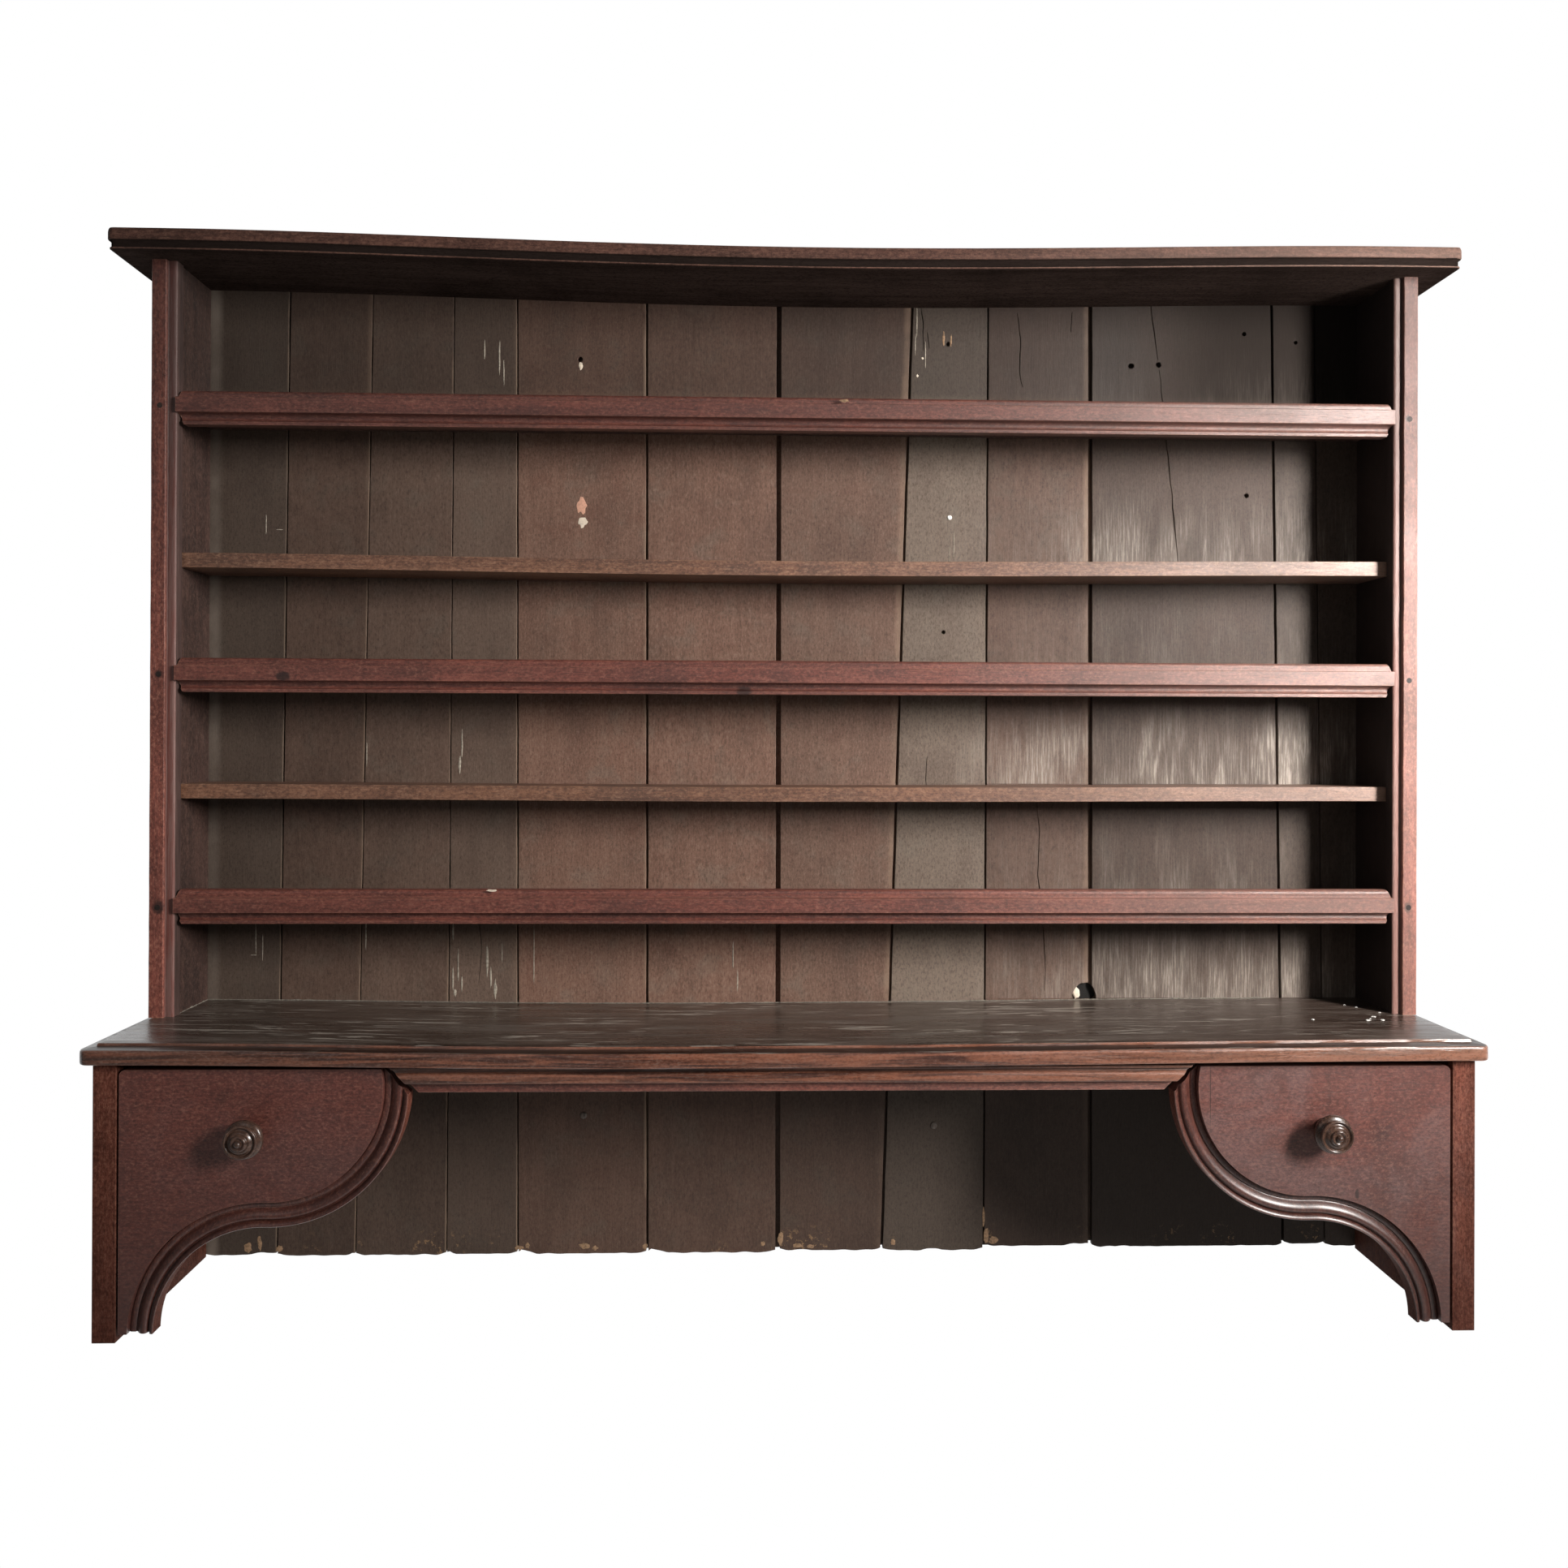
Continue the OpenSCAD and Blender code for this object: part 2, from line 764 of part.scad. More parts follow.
cornice_board();
side_board(false);  // side_board_left
side_board(true);  // side_board_right
stile(false);  // stile_left
stile(true);  // stile_right
stile_pegs();
rail(rail_high_z);  // rail_high
rail(rail_mid_z);  // rail_mid
rail(rail_low_z);  // rail_low
rail_shelf(rail_high_z);  // rail_shelf_high
rail_shelf(rail_mid_z);  // rail_shelf_mid
rail_shelf(rail_low_z);  // rail_shelf_low
plain_shelf(shelf_high_z, shelf_sag);  // plain_shelf_high
plain_shelf(shelf_low_z, shelf_sag / 2);  // plain_shelf_low
worktop();
back_board(0);  // back_board_01
back_board(1);  // back_board_02
back_board(2);  // back_board_03
back_board(3);  // back_board_04
back_board(4);  // back_board_05
back_board(5);  // back_board_06
back_board(6);  // back_board_07
back_board(7);  // back_board_08
back_board(8);  // back_board_09
back_board(9);  // back_board_10
back_board(10);  // back_board_11
back_board(11);  // back_board_12
base_panel(false);  // base_panel_left
base_panel(true);  // base_panel_right
apron_board();
apron_moulding();
divider(false);  // divider_left
divider(true);  // divider_right
runner_outer(false);  // runner_left_outer
runner_inner(false);  // runner_left_inner
runner_outer(true);  // runner_right_outer
runner_inner(true);  // runner_right_inner
drawer_front(false);  // drawer_left_front
drawer_moulding(false);  // drawer_left_moulding
drawer_side(false, true);  // drawer_left_outer_side
drawer_side(false, false);  // drawer_left_inner_side
drawer_back(false);  // drawer_left_back
drawer_bottom(false);  // drawer_left_bottom
drawer_knob(false);  // drawer_left_knob
drawer_front(true);  // drawer_right_front
drawer_moulding(true);  // drawer_right_moulding
drawer_side(true, true);  // drawer_right_outer_side
drawer_side(true, false);  // drawer_right_inner_side
drawer_back(true);  // drawer_right_back
drawer_bottom(true);  // drawer_right_bottom
drawer_knob(true);  // drawer_right_knob
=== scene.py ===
"""Looks of an open wall rack with a deep worktop and two scroll-fronted drawers.

Lengths are in metres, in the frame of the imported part: X runs right along the wall, Y runs into the
wall, Z is up. The wall is the plane Y = 0, and the worktop's top lies at Z = 0 at its ends. Profiles,
marks and holes are written in millimetres.
"""

import math

import bmesh
import bpy
import numpy as np
from mathutils import Matrix, Vector, noise


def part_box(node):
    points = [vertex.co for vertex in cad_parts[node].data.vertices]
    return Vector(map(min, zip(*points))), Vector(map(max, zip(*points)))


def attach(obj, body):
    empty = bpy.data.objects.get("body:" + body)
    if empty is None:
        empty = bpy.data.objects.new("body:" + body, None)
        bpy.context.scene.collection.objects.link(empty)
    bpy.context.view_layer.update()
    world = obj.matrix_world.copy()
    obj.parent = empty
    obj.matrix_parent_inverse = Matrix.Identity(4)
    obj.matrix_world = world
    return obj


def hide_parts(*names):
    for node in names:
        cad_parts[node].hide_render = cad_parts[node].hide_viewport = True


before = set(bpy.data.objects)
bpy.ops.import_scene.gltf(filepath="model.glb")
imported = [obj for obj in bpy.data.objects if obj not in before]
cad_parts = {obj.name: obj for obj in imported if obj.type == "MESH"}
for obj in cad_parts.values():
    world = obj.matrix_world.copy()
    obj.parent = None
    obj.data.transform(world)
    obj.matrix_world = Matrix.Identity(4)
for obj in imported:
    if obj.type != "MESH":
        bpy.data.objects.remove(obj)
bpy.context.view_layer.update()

MM = 0.001
RACK = "rack"


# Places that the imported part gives

def low(node):
    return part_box(node)[0]


def high(node):
    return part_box(node)[1]


CASE_HALF = high("side_board_right").x
INNER_HALF = low("side_board_right").x
STILE_HALF = low("stile_right").x
RACK_TOP = high("stile_right").z
BOARD_FACE = low("back_board_01").y
BOARD_MIDDLE = BOARD_FACE / 2
RAIL_BACK = high("rail_mid").y
REBATE_HALF = high("back_board_12").x
DRAWER_EDGE = high("drawer_right_front").x
WORKTOP_UNDER = -22 * MM
FOOT = low("base_panel_left").z
DRAWER_FACE = low("drawer_left_front").y
SHELF_TOPS = [high(n).z for n in sorted(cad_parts) if "shelf" in n]

# How deep a board has sagged, and where it is lowest
CORNICE_SAG = (12 * MM, 20 * MM)
WORKTOP_SAG = (6 * MM, -200 * MM)


def sag(x, depth, low_x):
    """Drop of a board that has sagged between the stiles, as in the part's source."""
    span = STILE_HALF + low_x if x < low_x else STILE_HALF - low_x
    t = min(1, abs(x - low_x) / span)
    return -depth * (1 - t * t) ** 2


def noise_at(x, y, z):
    return noise.noise(Vector((x, y, z)))


def add_object(name, data):
    made = bpy.data.objects.new(name, data)
    bpy.context.scene.collection.objects.link(made)
    return made


def wander(seed, x, size, length):
    """A small hand-made deviation along x, the same each run."""
    return size * noise_at(x / length, seed * 7.31, seed * 1.7)


# Materials

looks = {}


class Nodes:
    """Adds nodes to a tree. Most calls give back an output of the new node."""

    def __init__(self, tree):
        self.tree = tree
        tree.nodes.clear()

    def add(self, kind, inputs, **settings):
        return self.node(kind, inputs, **settings).outputs[0]

    def node(self, kind, inputs=None, **settings):
        made = self.tree.nodes.new("ShaderNode" + kind)
        for name, value in settings.items():
            setattr(made, name, value)
        for socket, value in (inputs or {}).items():
            self.put(made.inputs[socket], value)
        return made

    def put(self, socket, value):
        if isinstance(value, bpy.types.NodeSocket):
            self.tree.links.new(value, socket)
        elif socket.type == "RGBA":
            socket.default_value = (*value, 1)
        else:
            socket.default_value = value

    def math(self, operation, a, b=0.0):
        return self.add("Math", {0: a, 1: b}, operation=operation)

    def product(self, *values):
        made = values[0]
        for value in values[1:]:
            made = self.math("MULTIPLY", made, value)
        return made

    def minus(self, a, b):
        return self.math("SUBTRACT", a, b)

    def part(self, vector, axis):
        return self.node("SeparateXYZ", {0: vector}).outputs[axis]

    def shown_white(self, place, start, end, white, other):
        """Shows white to the camera, and to glossy and transmission rays too behind the rack.

        The Y of place goes from start to end as it passes behind. The room in front stays dim.
        """
        path = self.node("LightPath").outputs
        behind = self.add("MapRange", {0: self.part(place, "Y"), 1: start, 2: end})
        mirrored = self.math("MAXIMUM", path["Is Glossy Ray"], path["Is Transmission Ray"])
        seen = self.math("MAXIMUM", path["Is Camera Ray"], self.product(mirrored, behind))
        return self.add("MixShader", {0: seen, 1: other, 2: white})


class Look(Nodes):
    """A procedural material."""

    def __init__(self, name):
        self.name = name
        self.material = bpy.data.materials.new(name)
        self.material.use_nodes = True
        super().__init__(self.material.node_tree)
        self.place = self.point = self.node("TexCoord").outputs["Object"]

    def axis(self, name):
        return self.part(self.point, name)

    def facing(self, axis):
        return self.part(self.node("NewGeometry").outputs["Normal"], axis)

    def stored(self, name):
        """A number that the mesh keeps for each of its points."""
        return self.node("Attribute", attribute_name=name).outputs["Fac"]

    def noise(self, place, scale, detail=3.0, roughness=0.55, distortion=0.0):
        inputs = {"Vector": place, "Scale": scale, "Detail": detail, "Roughness": roughness,
                  "Distortion": distortion}
        return self.add("TexNoise", inputs)

    def streaks(self, axis, along, *settings):
        """Noise drawn out along one axis, as its places are squeezed along it."""
        factors = [along if name == axis else 1.0 for name in "XYZ"]
        return self.noise(self.vector("MULTIPLY", self.place, factors), *settings)

    def vector(self, operation, a, b):
        return self.add("VectorMath", {0: a, 1: b}, operation=operation)

    def shift(self, amount):
        """Moves the noise along Y by an amount, so that like pieces differ."""
        offset = self.add("CombineXYZ", {1: amount})
        self.place = self.vector("ADD", self.place, offset)

    def sum(self, a, b):
        return self.math("ADD", a, b)

    def spread(self, value, start, end, to_start=0.0, to_end=1.0):
        """Smooth change from to_start to to_end as value goes from start to end."""
        inputs = {0: value, 1: start, 2: end, 3: to_start, 4: to_end}
        return self.add("MapRange", inputs, interpolation_type="SMOOTHSTEP")

    def mix(self, share, a, b):
        return self.node("Mix", {0: share, 6: a, 7: b}, data_type="RGBA").outputs[2]

    def wash(self, colour, *layers):
        """Lays tints over a colour. Each layer is (value, start, end, strength, tint)."""
        for value, start, end, strength, tint in layers:
            if strength:
                colour = self.mix(self.spread(value, start, end, 0, strength), colour, tint)
        return colour

    def brighten(self, colour, factor):
        return self.add("VectorMath", {0: colour, "Scale": factor}, operation="SCALE")

    def edges(self, radius):
        """1 at sharp edges, falling to 0 on flat faces and in hollows."""
        normals = {0: self.add("Bevel", {"Radius": radius}, samples=4),
                   1: self.node("NewGeometry").outputs["Normal"]}
        dot = self.node("VectorMath", normals, operation="DOT_PRODUCT").outputs["Value"]
        return self.spread(dot, 0.995, 0.85)

    def spot(self, x, z, wide, tall):
        """1 within an oval on a face that looks along Y, in millimetres, falling to 0 at its soft edge."""
        edge, size, depth = 0.35, 260, 0.9
        across = self.math("DIVIDE", self.minus(self.axis("X"), x * MM), wide * MM)
        up = self.math("DIVIDE", self.minus(self.axis("Z"), z * MM), tall * MM)
        ragged_edge = self.product(self.minus(self.noise(self.point, size, 2), 0.5), depth)
        far = self.math("SQRT", self.sum(self.product(across, across), self.product(up, up)))
        return self.spread(self.sum(far, ragged_edge), 1 + edge, 1 - edge)

    def shader(self, colour, roughness, height, relief, coat=0, coat_roughness=0.3, level=0.5):
        """A surface whose relief is in millimetres."""
        normal = self.add("Bump", {"Height": height, "Distance": relief * MM, "Strength": 1.0})
        inputs = {"Base Color": colour, "Roughness": roughness, "Normal": normal, "Coat Weight": coat,
                  "Coat Roughness": coat_roughness, "Specular IOR Level": level}
        return self.add("BsdfPrincipled", inputs)

    def finish(self, shader):
        self.node("OutputMaterial", {"Surface": shader})
        looks[self.name] = self.material


def shaded(colour, share):
    """A colour darkened to a share of itself."""
    return tuple(share * c for c in colour)


# Painted shade: PAINTED_SHADE darkens hollows and below the cornice, INSIDE_SHADE the inner faces on the
# case's right
PAINTED_SHADE, INSIDE_SHADE = (0.01, 0.007, 0.006), (0.011, 0.008, 0.009)
# Painted light and shade: RIGHT_LIGHT_TINT lightens the right side, BEAD_SHEEN paints a bead's reflection and
# shade, SHEEN_TINT a sheen
RIGHT_LIGHT_TINT, BEAD_SHEEN, SHEEN_TINT = (0.4, 0.29, 0.24), (0.115, 0.066, 0.058), (0.074, 0.056, 0.056)
# Woods, each dark, light and worn
RED = (0.078, 0.022, 0.016), (0.172, 0.051, 0.036), (0.34, 0.17, 0.115)
OAK = (0.11, 0.045, 0.026), (0.25, 0.115, 0.064), (0.46, 0.29, 0.19)
CASE = (0.04, 0.022, 0.018), (0.09, 0.048, 0.038), (0.2, 0.12, 0.09)
CORNICE = (0.058, 0.028, 0.021), (0.13, 0.06, 0.044), (0.25, 0.14, 0.1)
UNDERSIDE = (0.046, 0.031, 0.026), (0.088, 0.06, 0.051), (0.07, 0.045, 0.035)
PANEL = (0.098, 0.031, 0.02), (0.185, 0.062, 0.041), RED[2]
DRAWER = (0.102, 0.028, 0.02), (0.146, 0.041, 0.03), RED[2]
SCROLL = (0.07, 0.022, 0.016), (0.115, 0.034, 0.025), RED[2]
KNOB_WOOD = (0.04, 0.019, 0.012), (0.085, 0.042, 0.028), (0.2, 0.12, 0.085)
PEG = (0.012, 0.007, 0.006), (0.03, 0.018, 0.014), (0.05, 0.03, 0.02)
BARE = (0.2, 0.12, 0.07), (0.34, 0.23, 0.14), (0.34, 0.23, 0.14)
# Where painted light falls on the right side, and painted shade towards the foot and below the cornice
LIT_SIDE, FOOT_FADE, TOP_SHADE = (0.1, 0.7), (-0.06, -0.35), (0.78, 0.84)


def stained_wood(name, grain, wood, roughness=0.5, coat=0.3, relief=0.25, wear=0.6, streak=0.5, level=0.7,
                 spots=(), foot=0, light_by_height=None, mottle=0, shade_below_cornice=0, coat_rough=0.42, right_light=0, outside=0):
    """Old stained wood with fibre, figure, stains and rubbed edges, its grain along one axis.

    spots are dark knots and dents. foot is how far the colour darkens towards the rack's foot,
    a painted shade. lift is painted light, how bright it is at the top and low down. mottle
    is how cloudy it is, with a painted sheen that grows to the right. shade_below_cornice is a painted
    shade below the cornice, and fade is how much lighter the right side is painted, a painted
    light. Faces as far out as outside are stained red, with a painted shade on the right side's
    inner faces within. A mesh may store grime, a painted shade in its hollows, and bead, where a
    greyer, darker colour paints a bead's reflection and shade.
    """
    dark, light, worn = wood
    look = Look(name)
    x, z = look.axis("X"), look.axis("Z")
    fibre = look.streaks(grain, 0.04, 900, 4, 0.7)
    figure = look.streaks(grain, 0.06, 70, 3, 0.6, 0.8)
    stain = look.noise(look.place, 9, 4, 0.6)
    pores = look.spread(look.streaks(grain, 0.03, 2200, 2, 0.5), 0.58, 0.7)
    grit = look.streaks(grain, 0.6, 330, 4, 0.85)
    tone = look.sum(look.product(fibre, 1 - streak), look.product(figure, streak))
    share = look.spread(tone, 0.34, 0.66)
    colour = look.mix(share, dark, light)
    if outside:
        outer = look.spread(look.math("ABSOLUTE", x), outside - 2 * MM, outside - 0.5 * MM)
        colour = look.mix(outer, colour, look.mix(share, *RED[:2]))
    colour = look.wash(colour, (stain, 0.42, 0.72, 0.55, shaded(dark, 0.5)))
    colour = look.mix(look.product(pores, 0.5), colour, shaded(dark, 0.3))
    scuff = look.spread(look.streaks(grain, 0.25, 160, 4, 0.7), 0.6, 0.72, 0, 0.35 * wear)
    rubbed = look.product(look.edges(1.8 * MM), look.spread(stain, 0.3, 0.65, wear, 0.3 * wear))
    colour = look.mix(look.math("MAXIMUM", scuff, rubbed), colour, worn)
    if mottle:
        # A painted sheen in paler clouds, stronger to the right, then darker clouds of stain
        cloud = look.noise(look.place, 8, 5, 0.65, 0.6)
        painted_sheen = look.product(look.spread(cloud, 0.48, 0.66, 0, mottle), look.spread(x, -0.1, 0.5, 0.25, 0.8))
        colour = look.mix(painted_sheen, colour, tuple(0.45 * c + a for c, a in zip(light, SHEEN_TINT)))
        colour = look.wash(colour, (cloud, 0.47, 0.32, mottle, shaded(dark, 0.5)))
    colour = look.wash(colour, (grit, 0.49, 0.62, 0.6, shaded(dark, 0.3)), (grit, 0.48, 0.36, 0.28, worn))
    for spot in spots:
        colour = look.mix(look.product(look.spot(*spot), 0.85), colour, shaded(dark, 0.15))
    # Painted reflection and shade: a greyer, darker bead
    bead_sheen = look.mix(look.spread(tone, 0.38, 0.62), tuple(1.1 * c + 0.004 for c in dark), BEAD_SHEEN)
    colour = look.mix(look.stored("bead"), colour, bead_sheen)
    # Painted shade in the hollows that the mesh marks
    colour = look.mix(look.stored("hollow_shade"), colour, PAINTED_SHADE)
    # Painted shade towards the foot and below the cornice, and painted light on the right side
    colour = look.wash(colour, (z, *FOOT_FADE, foot, shaded(dark, 0.2)), (z, *TOP_SHADE, shade_below_cornice, PAINTED_SHADE),
                       (x, *LIT_SIDE, right_light, RIGHT_LIGHT_TINT))
    if outside:
        # Painted shade on the inner faces at the case's right
        within = look.spread(x, outside - 40 * MM, outside - 30 * MM, 0, 0.8)
        colour = look.mix(look.product(within, look.minus(1.0, outer)), colour, INSIDE_SHADE)
    if light_by_height:
        # Painted light: brighter or darker by height
        colour = look.brighten(colour, look.spread(z, 0.88, 0.32, *light_by_height))
    rough = look.spread(stain, 0.3, 0.7, roughness - 0.05, roughness + 0.08)
    height = look.minus(tone, look.product(pores, 0.4))
    look.finish(look.shader(colour, rough, height, relief, coat, coat_rough, level))


# How strongly each bay is rubbed above its shelf, from the top down, and above the worktop; towards the
# right the rubbing also carries a painted sheen
RUBS = zip(sorted(SHELF_TOPS + [0.0], reverse=True), [0.1, 0.7, 0.25, 1.5, 0.35, 0.8])
RUB_HEIGHT = 0.13
HIGH_BAY = (0.8, 0.83)


def board_wood():
    """Dry back boards: brown stain, rubbed silvery with a painted sheen where plates stood, bare behind.

    The mesh stores each board's tone, shade and paler right edge, and across runs from left to right.
    The top bay and the space below the worktop are darker, the cornice's shadow is painted on the top
    bay's right, and painted light makes the lower boards and the bay around 0.35 m up brighter.
    """
    look = Look("board")
    tone, shade, across, lit_edge = (look.stored(n) for n in ("tone", "shade", "across", "lit_edge"))
    look.shift(look.product(shade, 3.7))
    x, z = look.axis("X"), look.axis("Z")
    fibre = look.streaks("Z", 0.05, 1000, 4, 0.7)
    figure = look.streaks("Z", 0.05, 110, 3, 0.6, 0.6)
    blotch = look.streaks("Z", 0.7, 11, 4, 0.65)
    cloud = look.noise(look.place, 24, 3, 0.6, 0.4)
    grit = look.streaks("Z", 0.5, 360, 4, 0.85)
    share = look.spread(figure, 0.3, 0.7)
    colour = look.wash(look.mix(share, (0.158, 0.087, 0.062), (0.19, 0.108, 0.078)),
                       (fibre, 0.5, 0.7, 0.3, (0.26, 0.175, 0.135)),
                       (fibre, 0.48, 0.32, 0.35, (0.065, 0.036, 0.026)),
                       (cloud, 0.5, 0.72, 0.4, (0.165, 0.128, 0.1)),
                       (cloud, 0.44, 0.28, 0.35, (0.135, 0.06, 0.042)))
    colour = look.wash(look.mix(look.product(tone, 0.85), colour, (0.188, 0.16, 0.128)),
                       (blotch, 0.42, 0.75, 0.45, (0.07, 0.042, 0.032)),
                       (grit, 0.5, 0.64, 0.5, (0.04, 0.025, 0.02)),
                       (grit, 0.47, 0.34, 0.3, (0.33, 0.24, 0.19)))

    streaks = look.spread(look.streaks("Z", 0.05, 420, 4, 0.75), 0.44, 0.66)
    broad = look.spread(look.streaks("Z", 0.2, 26, 3, 0.6), 0.38, 0.62)
    above = 0.0
    for top, strength in RUBS:
        height = look.minus(z, top)
        band = look.spread(height, 0.0, RUB_HEIGHT, strength, 0.0)
        above = look.math("MAXIMUM", above, look.product(band, look.math("GREATER_THAN", height, 0.0)))
    # Rubbed wood with a painted sheen on it, growing to the right
    rub_and_sheen = look.product(above, look.spread(x, 0.12, 0.5), look.sum(look.product(streaks, 0.7), 0.3),
                          look.sum(look.product(broad, 0.8), 0.2))
    # Darker in the top bay and below the worktop, more so to the right
    top_and_knee = look.math("MAXIMUM", look.spread(z, *HIGH_BAY), look.spread(z, -0.02, -0.05))
    darkening_and_shade = look.product(top_and_knee, look.spread(x, -0.9, 0.5, 0.47, 0.74))
    # far is a painted shadow of the cornice on the top bay's right, and makes the boards rougher there
    far = look.product(look.spread(z, *HIGH_BAY), look.spread(x, 0.42, 0.62, 0, 0.42))
    darkening_and_shade = look.math("MAXIMUM", darkening_and_shade, look.sum(look.product(darkening_and_shade, 0.75), far))
    pale = look.product(look.spread(across, 0.93, 0.98), lit_edge, look.spread(z, -0.05, 0.02, 0.2, 1),
                        look.spread(blotch, 0.35, 0.6, 0.9, 0.3), 0.45)
    joint = look.product(look.spread(across, 0.975, 0.99), look.spread(x, 0.05, -0.35),
                         look.spread(blotch, 0.4, 0.55), shade, 0.45)
    corner = look.product(look.spread(look.math("ABSOLUTE", look.sum(x, 0.777)), 0.014, 0.002),
                          look.spread(blotch, 0.3, 0.6, 0.5, 0.2))
    crumbs = look.product(look.spread(z, -0.3, -0.338),
                          look.spread(look.noise(look.place, 120, 4, 0.7), 0.56, 0.64),
                          look.spread(look.streaks("Z", 0.3, 17, 2, 0.5), 0.5, 0.62), 0.7)
    dark = look.minus(1.0, shade)
    for laid, tint in ((darkening_and_shade, (0.02, 0.014, 0.011)), (dark, (0.014, 0.01, 0.008)),
                       (rub_and_sheen, (0.33, 0.285, 0.245)), (pale, (0.32, 0.22, 0.155)),
                       (joint, (0.32, 0.23, 0.16)), (corner, (0.26, 0.22, 0.185)),
                       (crumbs, (0.27, 0.165, 0.085))):
        colour = look.mix(laid, colour, tint)
    # Painted light: brighter low down, and in the bay around 0.35 m up
    colour = look.brighten(colour, look.spread(z, 0.3, 0.0, 0.97, 1.18))
    mid_bay = look.math("ABSOLUTE", look.minus(z, 0.35))
    colour = look.brighten(colour, look.spread(mid_bay, 0.08, 0.05, 1.0, 1.12))

    bare = look.wash(look.mix(share, (0.15, 0.105, 0.072), (0.23, 0.165, 0.115)),
                     (grit, 0.5, 0.64, 0.4, (0.07, 0.05, 0.036)),
                     (blotch, 0.42, 0.75, 0.5, (0.1, 0.075, 0.058)))
    bare = look.mix(look.math("FRACT", look.product(shade, 7.3)), bare, (0.3, 0.225, 0.165))
    colour = look.mix(look.spread(look.facing("Y"), 0.3, 0.7), colour, bare)
    rough = look.minus(look.spread(fibre, 0.3, 0.7, 0.66, 0.56), look.product(rub_and_sheen, 0.15))
    rough = look.sum(rough, look.product(far, 0.8))
    height = look.sum(look.product(fibre, 0.7), look.product(figure, 0.5))
    look.finish(look.shader(colour, rough, height, 0.35, level=0.25))


def worktop_wood():
    """Dark waxed worktop with pale scratches and dust along its length, and a grained front."""
    look = Look("worktop")
    x = look.axis("X")
    fibre = look.streaks("X", 0.03, 800, 4, 0.75)
    figure = look.streaks("X", 0.04, 130, 4, 0.65, 1.2)
    blotch = look.streaks("X", 0.5, 8, 4, 0.6)
    grit = look.streaks("X", 0.5, 420, 4, 0.8)
    streaks = look.streaks("X", 0.06, 105, 4, 0.75, 0.5)
    upward = look.spread(look.facing("Z"), 0.85, 0.99)
    # Painted light and shade: the front is lighter to the right and darker to the left
    front = look.wash(look.mix(look.spread(figure, 0.36, 0.62), (0.053, 0.019, 0.013), (0.24, 0.089, 0.051)),
                      (x, 0.2, 0.75, 0.4, (0.34, 0.175, 0.115)), (x, -0.1, -0.8, 0.35, (0.04, 0.022, 0.016)))
    top = look.wash(look.mix(look.spread(figure, 0.35, 0.65), (0.031, 0.021, 0.016), (0.072, 0.05, 0.04)),
                    (blotch, 0.42, 0.62, 0.6, (0.106, 0.079, 0.063)))
    colour = look.wash(look.mix(upward, front, top), (grit, 0.5, 0.62, 0.45, (0.016, 0.01, 0.008)),
                       (grit, 0.48, 0.36, 0.3, (0.22, 0.17, 0.14)))
    streak = look.spread(streaks, 0.5, 0.62)
    scratch = look.product(look.spread(look.streaks("X", 0.09, 130, 3, 0.7, 0.8), 0.56, 0.605),
                           look.spread(look.streaks("X", 0.35, 14, 2), 0.42, 0.6))
    # Edge wear, painted as a highlight only towards the right
    rubbed = look.product(look.edges(1.5 * MM), look.spread(x, 0.15, 0.45, 0.1, 0.4))
    dark_streak = look.spread(streaks, 0.48, 0.38)
    # Painted shade: right darkens the top towards the right, and grime is a painted shade in the hollows
    right = look.spread(x, 0.2, 0.7)
    for laid, tint in ((look.product(dark_streak, upward, 0.6), (0.022, 0.014, 0.011)),
                       (look.product(streak, upward, 0.35), (0.22, 0.19, 0.165)),
                       (look.product(scratch, upward, 0.85), (0.42, 0.38, 0.33)),
                       (look.product(right, upward, 0.4), (0.045, 0.022, 0.015)),
                       (rubbed, (0.33, 0.18, 0.12)), (look.stored("hollow_shade"), (0.022, 0.01, 0.007))):
        colour = look.mix(laid, colour, tint)
    height = look.sum(look.product(fibre, 0.6), look.product(figure, 0.4))
    height = look.minus(height, scratch)
    rough = look.sum(look.spread(blotch, 0.35, 0.65, 0.24, 0.4), look.product(streak, 0.2))
    look.finish(look.shader(colour, rough, height, 0.25, 0.3, 0.25, 0.6))


def plain(name, colour, roughness, relief=0.05, dirt_share=0.8):
    """A small plain part, such as a plaster chip or a screw head."""
    look = Look(name)
    dirt_and_shade = look.noise(look.place, 300, 3)
    tint = look.mix(look.spread(dirt_and_shade, 0.4, 0.7), colour, shaded(colour, dirt_share))
    look.finish(look.shader(tint, roughness, dirt_and_shade, relief))


RAIL_SPOTS = [(-644, 431, 9, 6), (-62, 415, 10, 6)]
DRAWER_SPOTS = [(668, -183, 2.5, 6), (492, -66, 0.5, 36)]
STILE_SPOTS = [(-798, 139, 6.5, 8.5), (798, 139, 4.5, 6.5), (797, 772, 3.5, 4.5), (-799, 433, 4, 5)]

# The numbers after a wood are its roughness, coat, relief, wear and streak
# In these looks lift, fade, shade_below_cornice and foot paint light and shade, and mottle adds a painted
# sheen
stained_wood("red_x", "X", RED, coat=0.25, level=0.6, spots=RAIL_SPOTS, light_by_height=(0.85, 1.25), right_light=0.16)
stained_wood("red_z", "Z", RED, 0.58, 0.15, level=0.45, spots=STILE_SPOTS, light_by_height=(0.76, 1.9), right_light=0.1)
stained_wood("panel", "Z", PANEL, 0.7, 0.0, wear=0.8, level=0.1, foot=0.5, mottle=0.4)
stained_wood("scroll", "Z", SCROLL, 0.36, 0.35, 0.1, 0.3, foot=0.5, coat_rough=0.25)
stained_wood("drawer", "X", DRAWER, 0.48, 0.25, 0.12, 0.5, 0.3, spots=DRAWER_SPOTS, foot=0.62, mottle=0.75)
stained_wood("oak", "X", OAK, 0.5, 0.15, 0.4, 0.8, mottle=0.2, right_light=0.25)
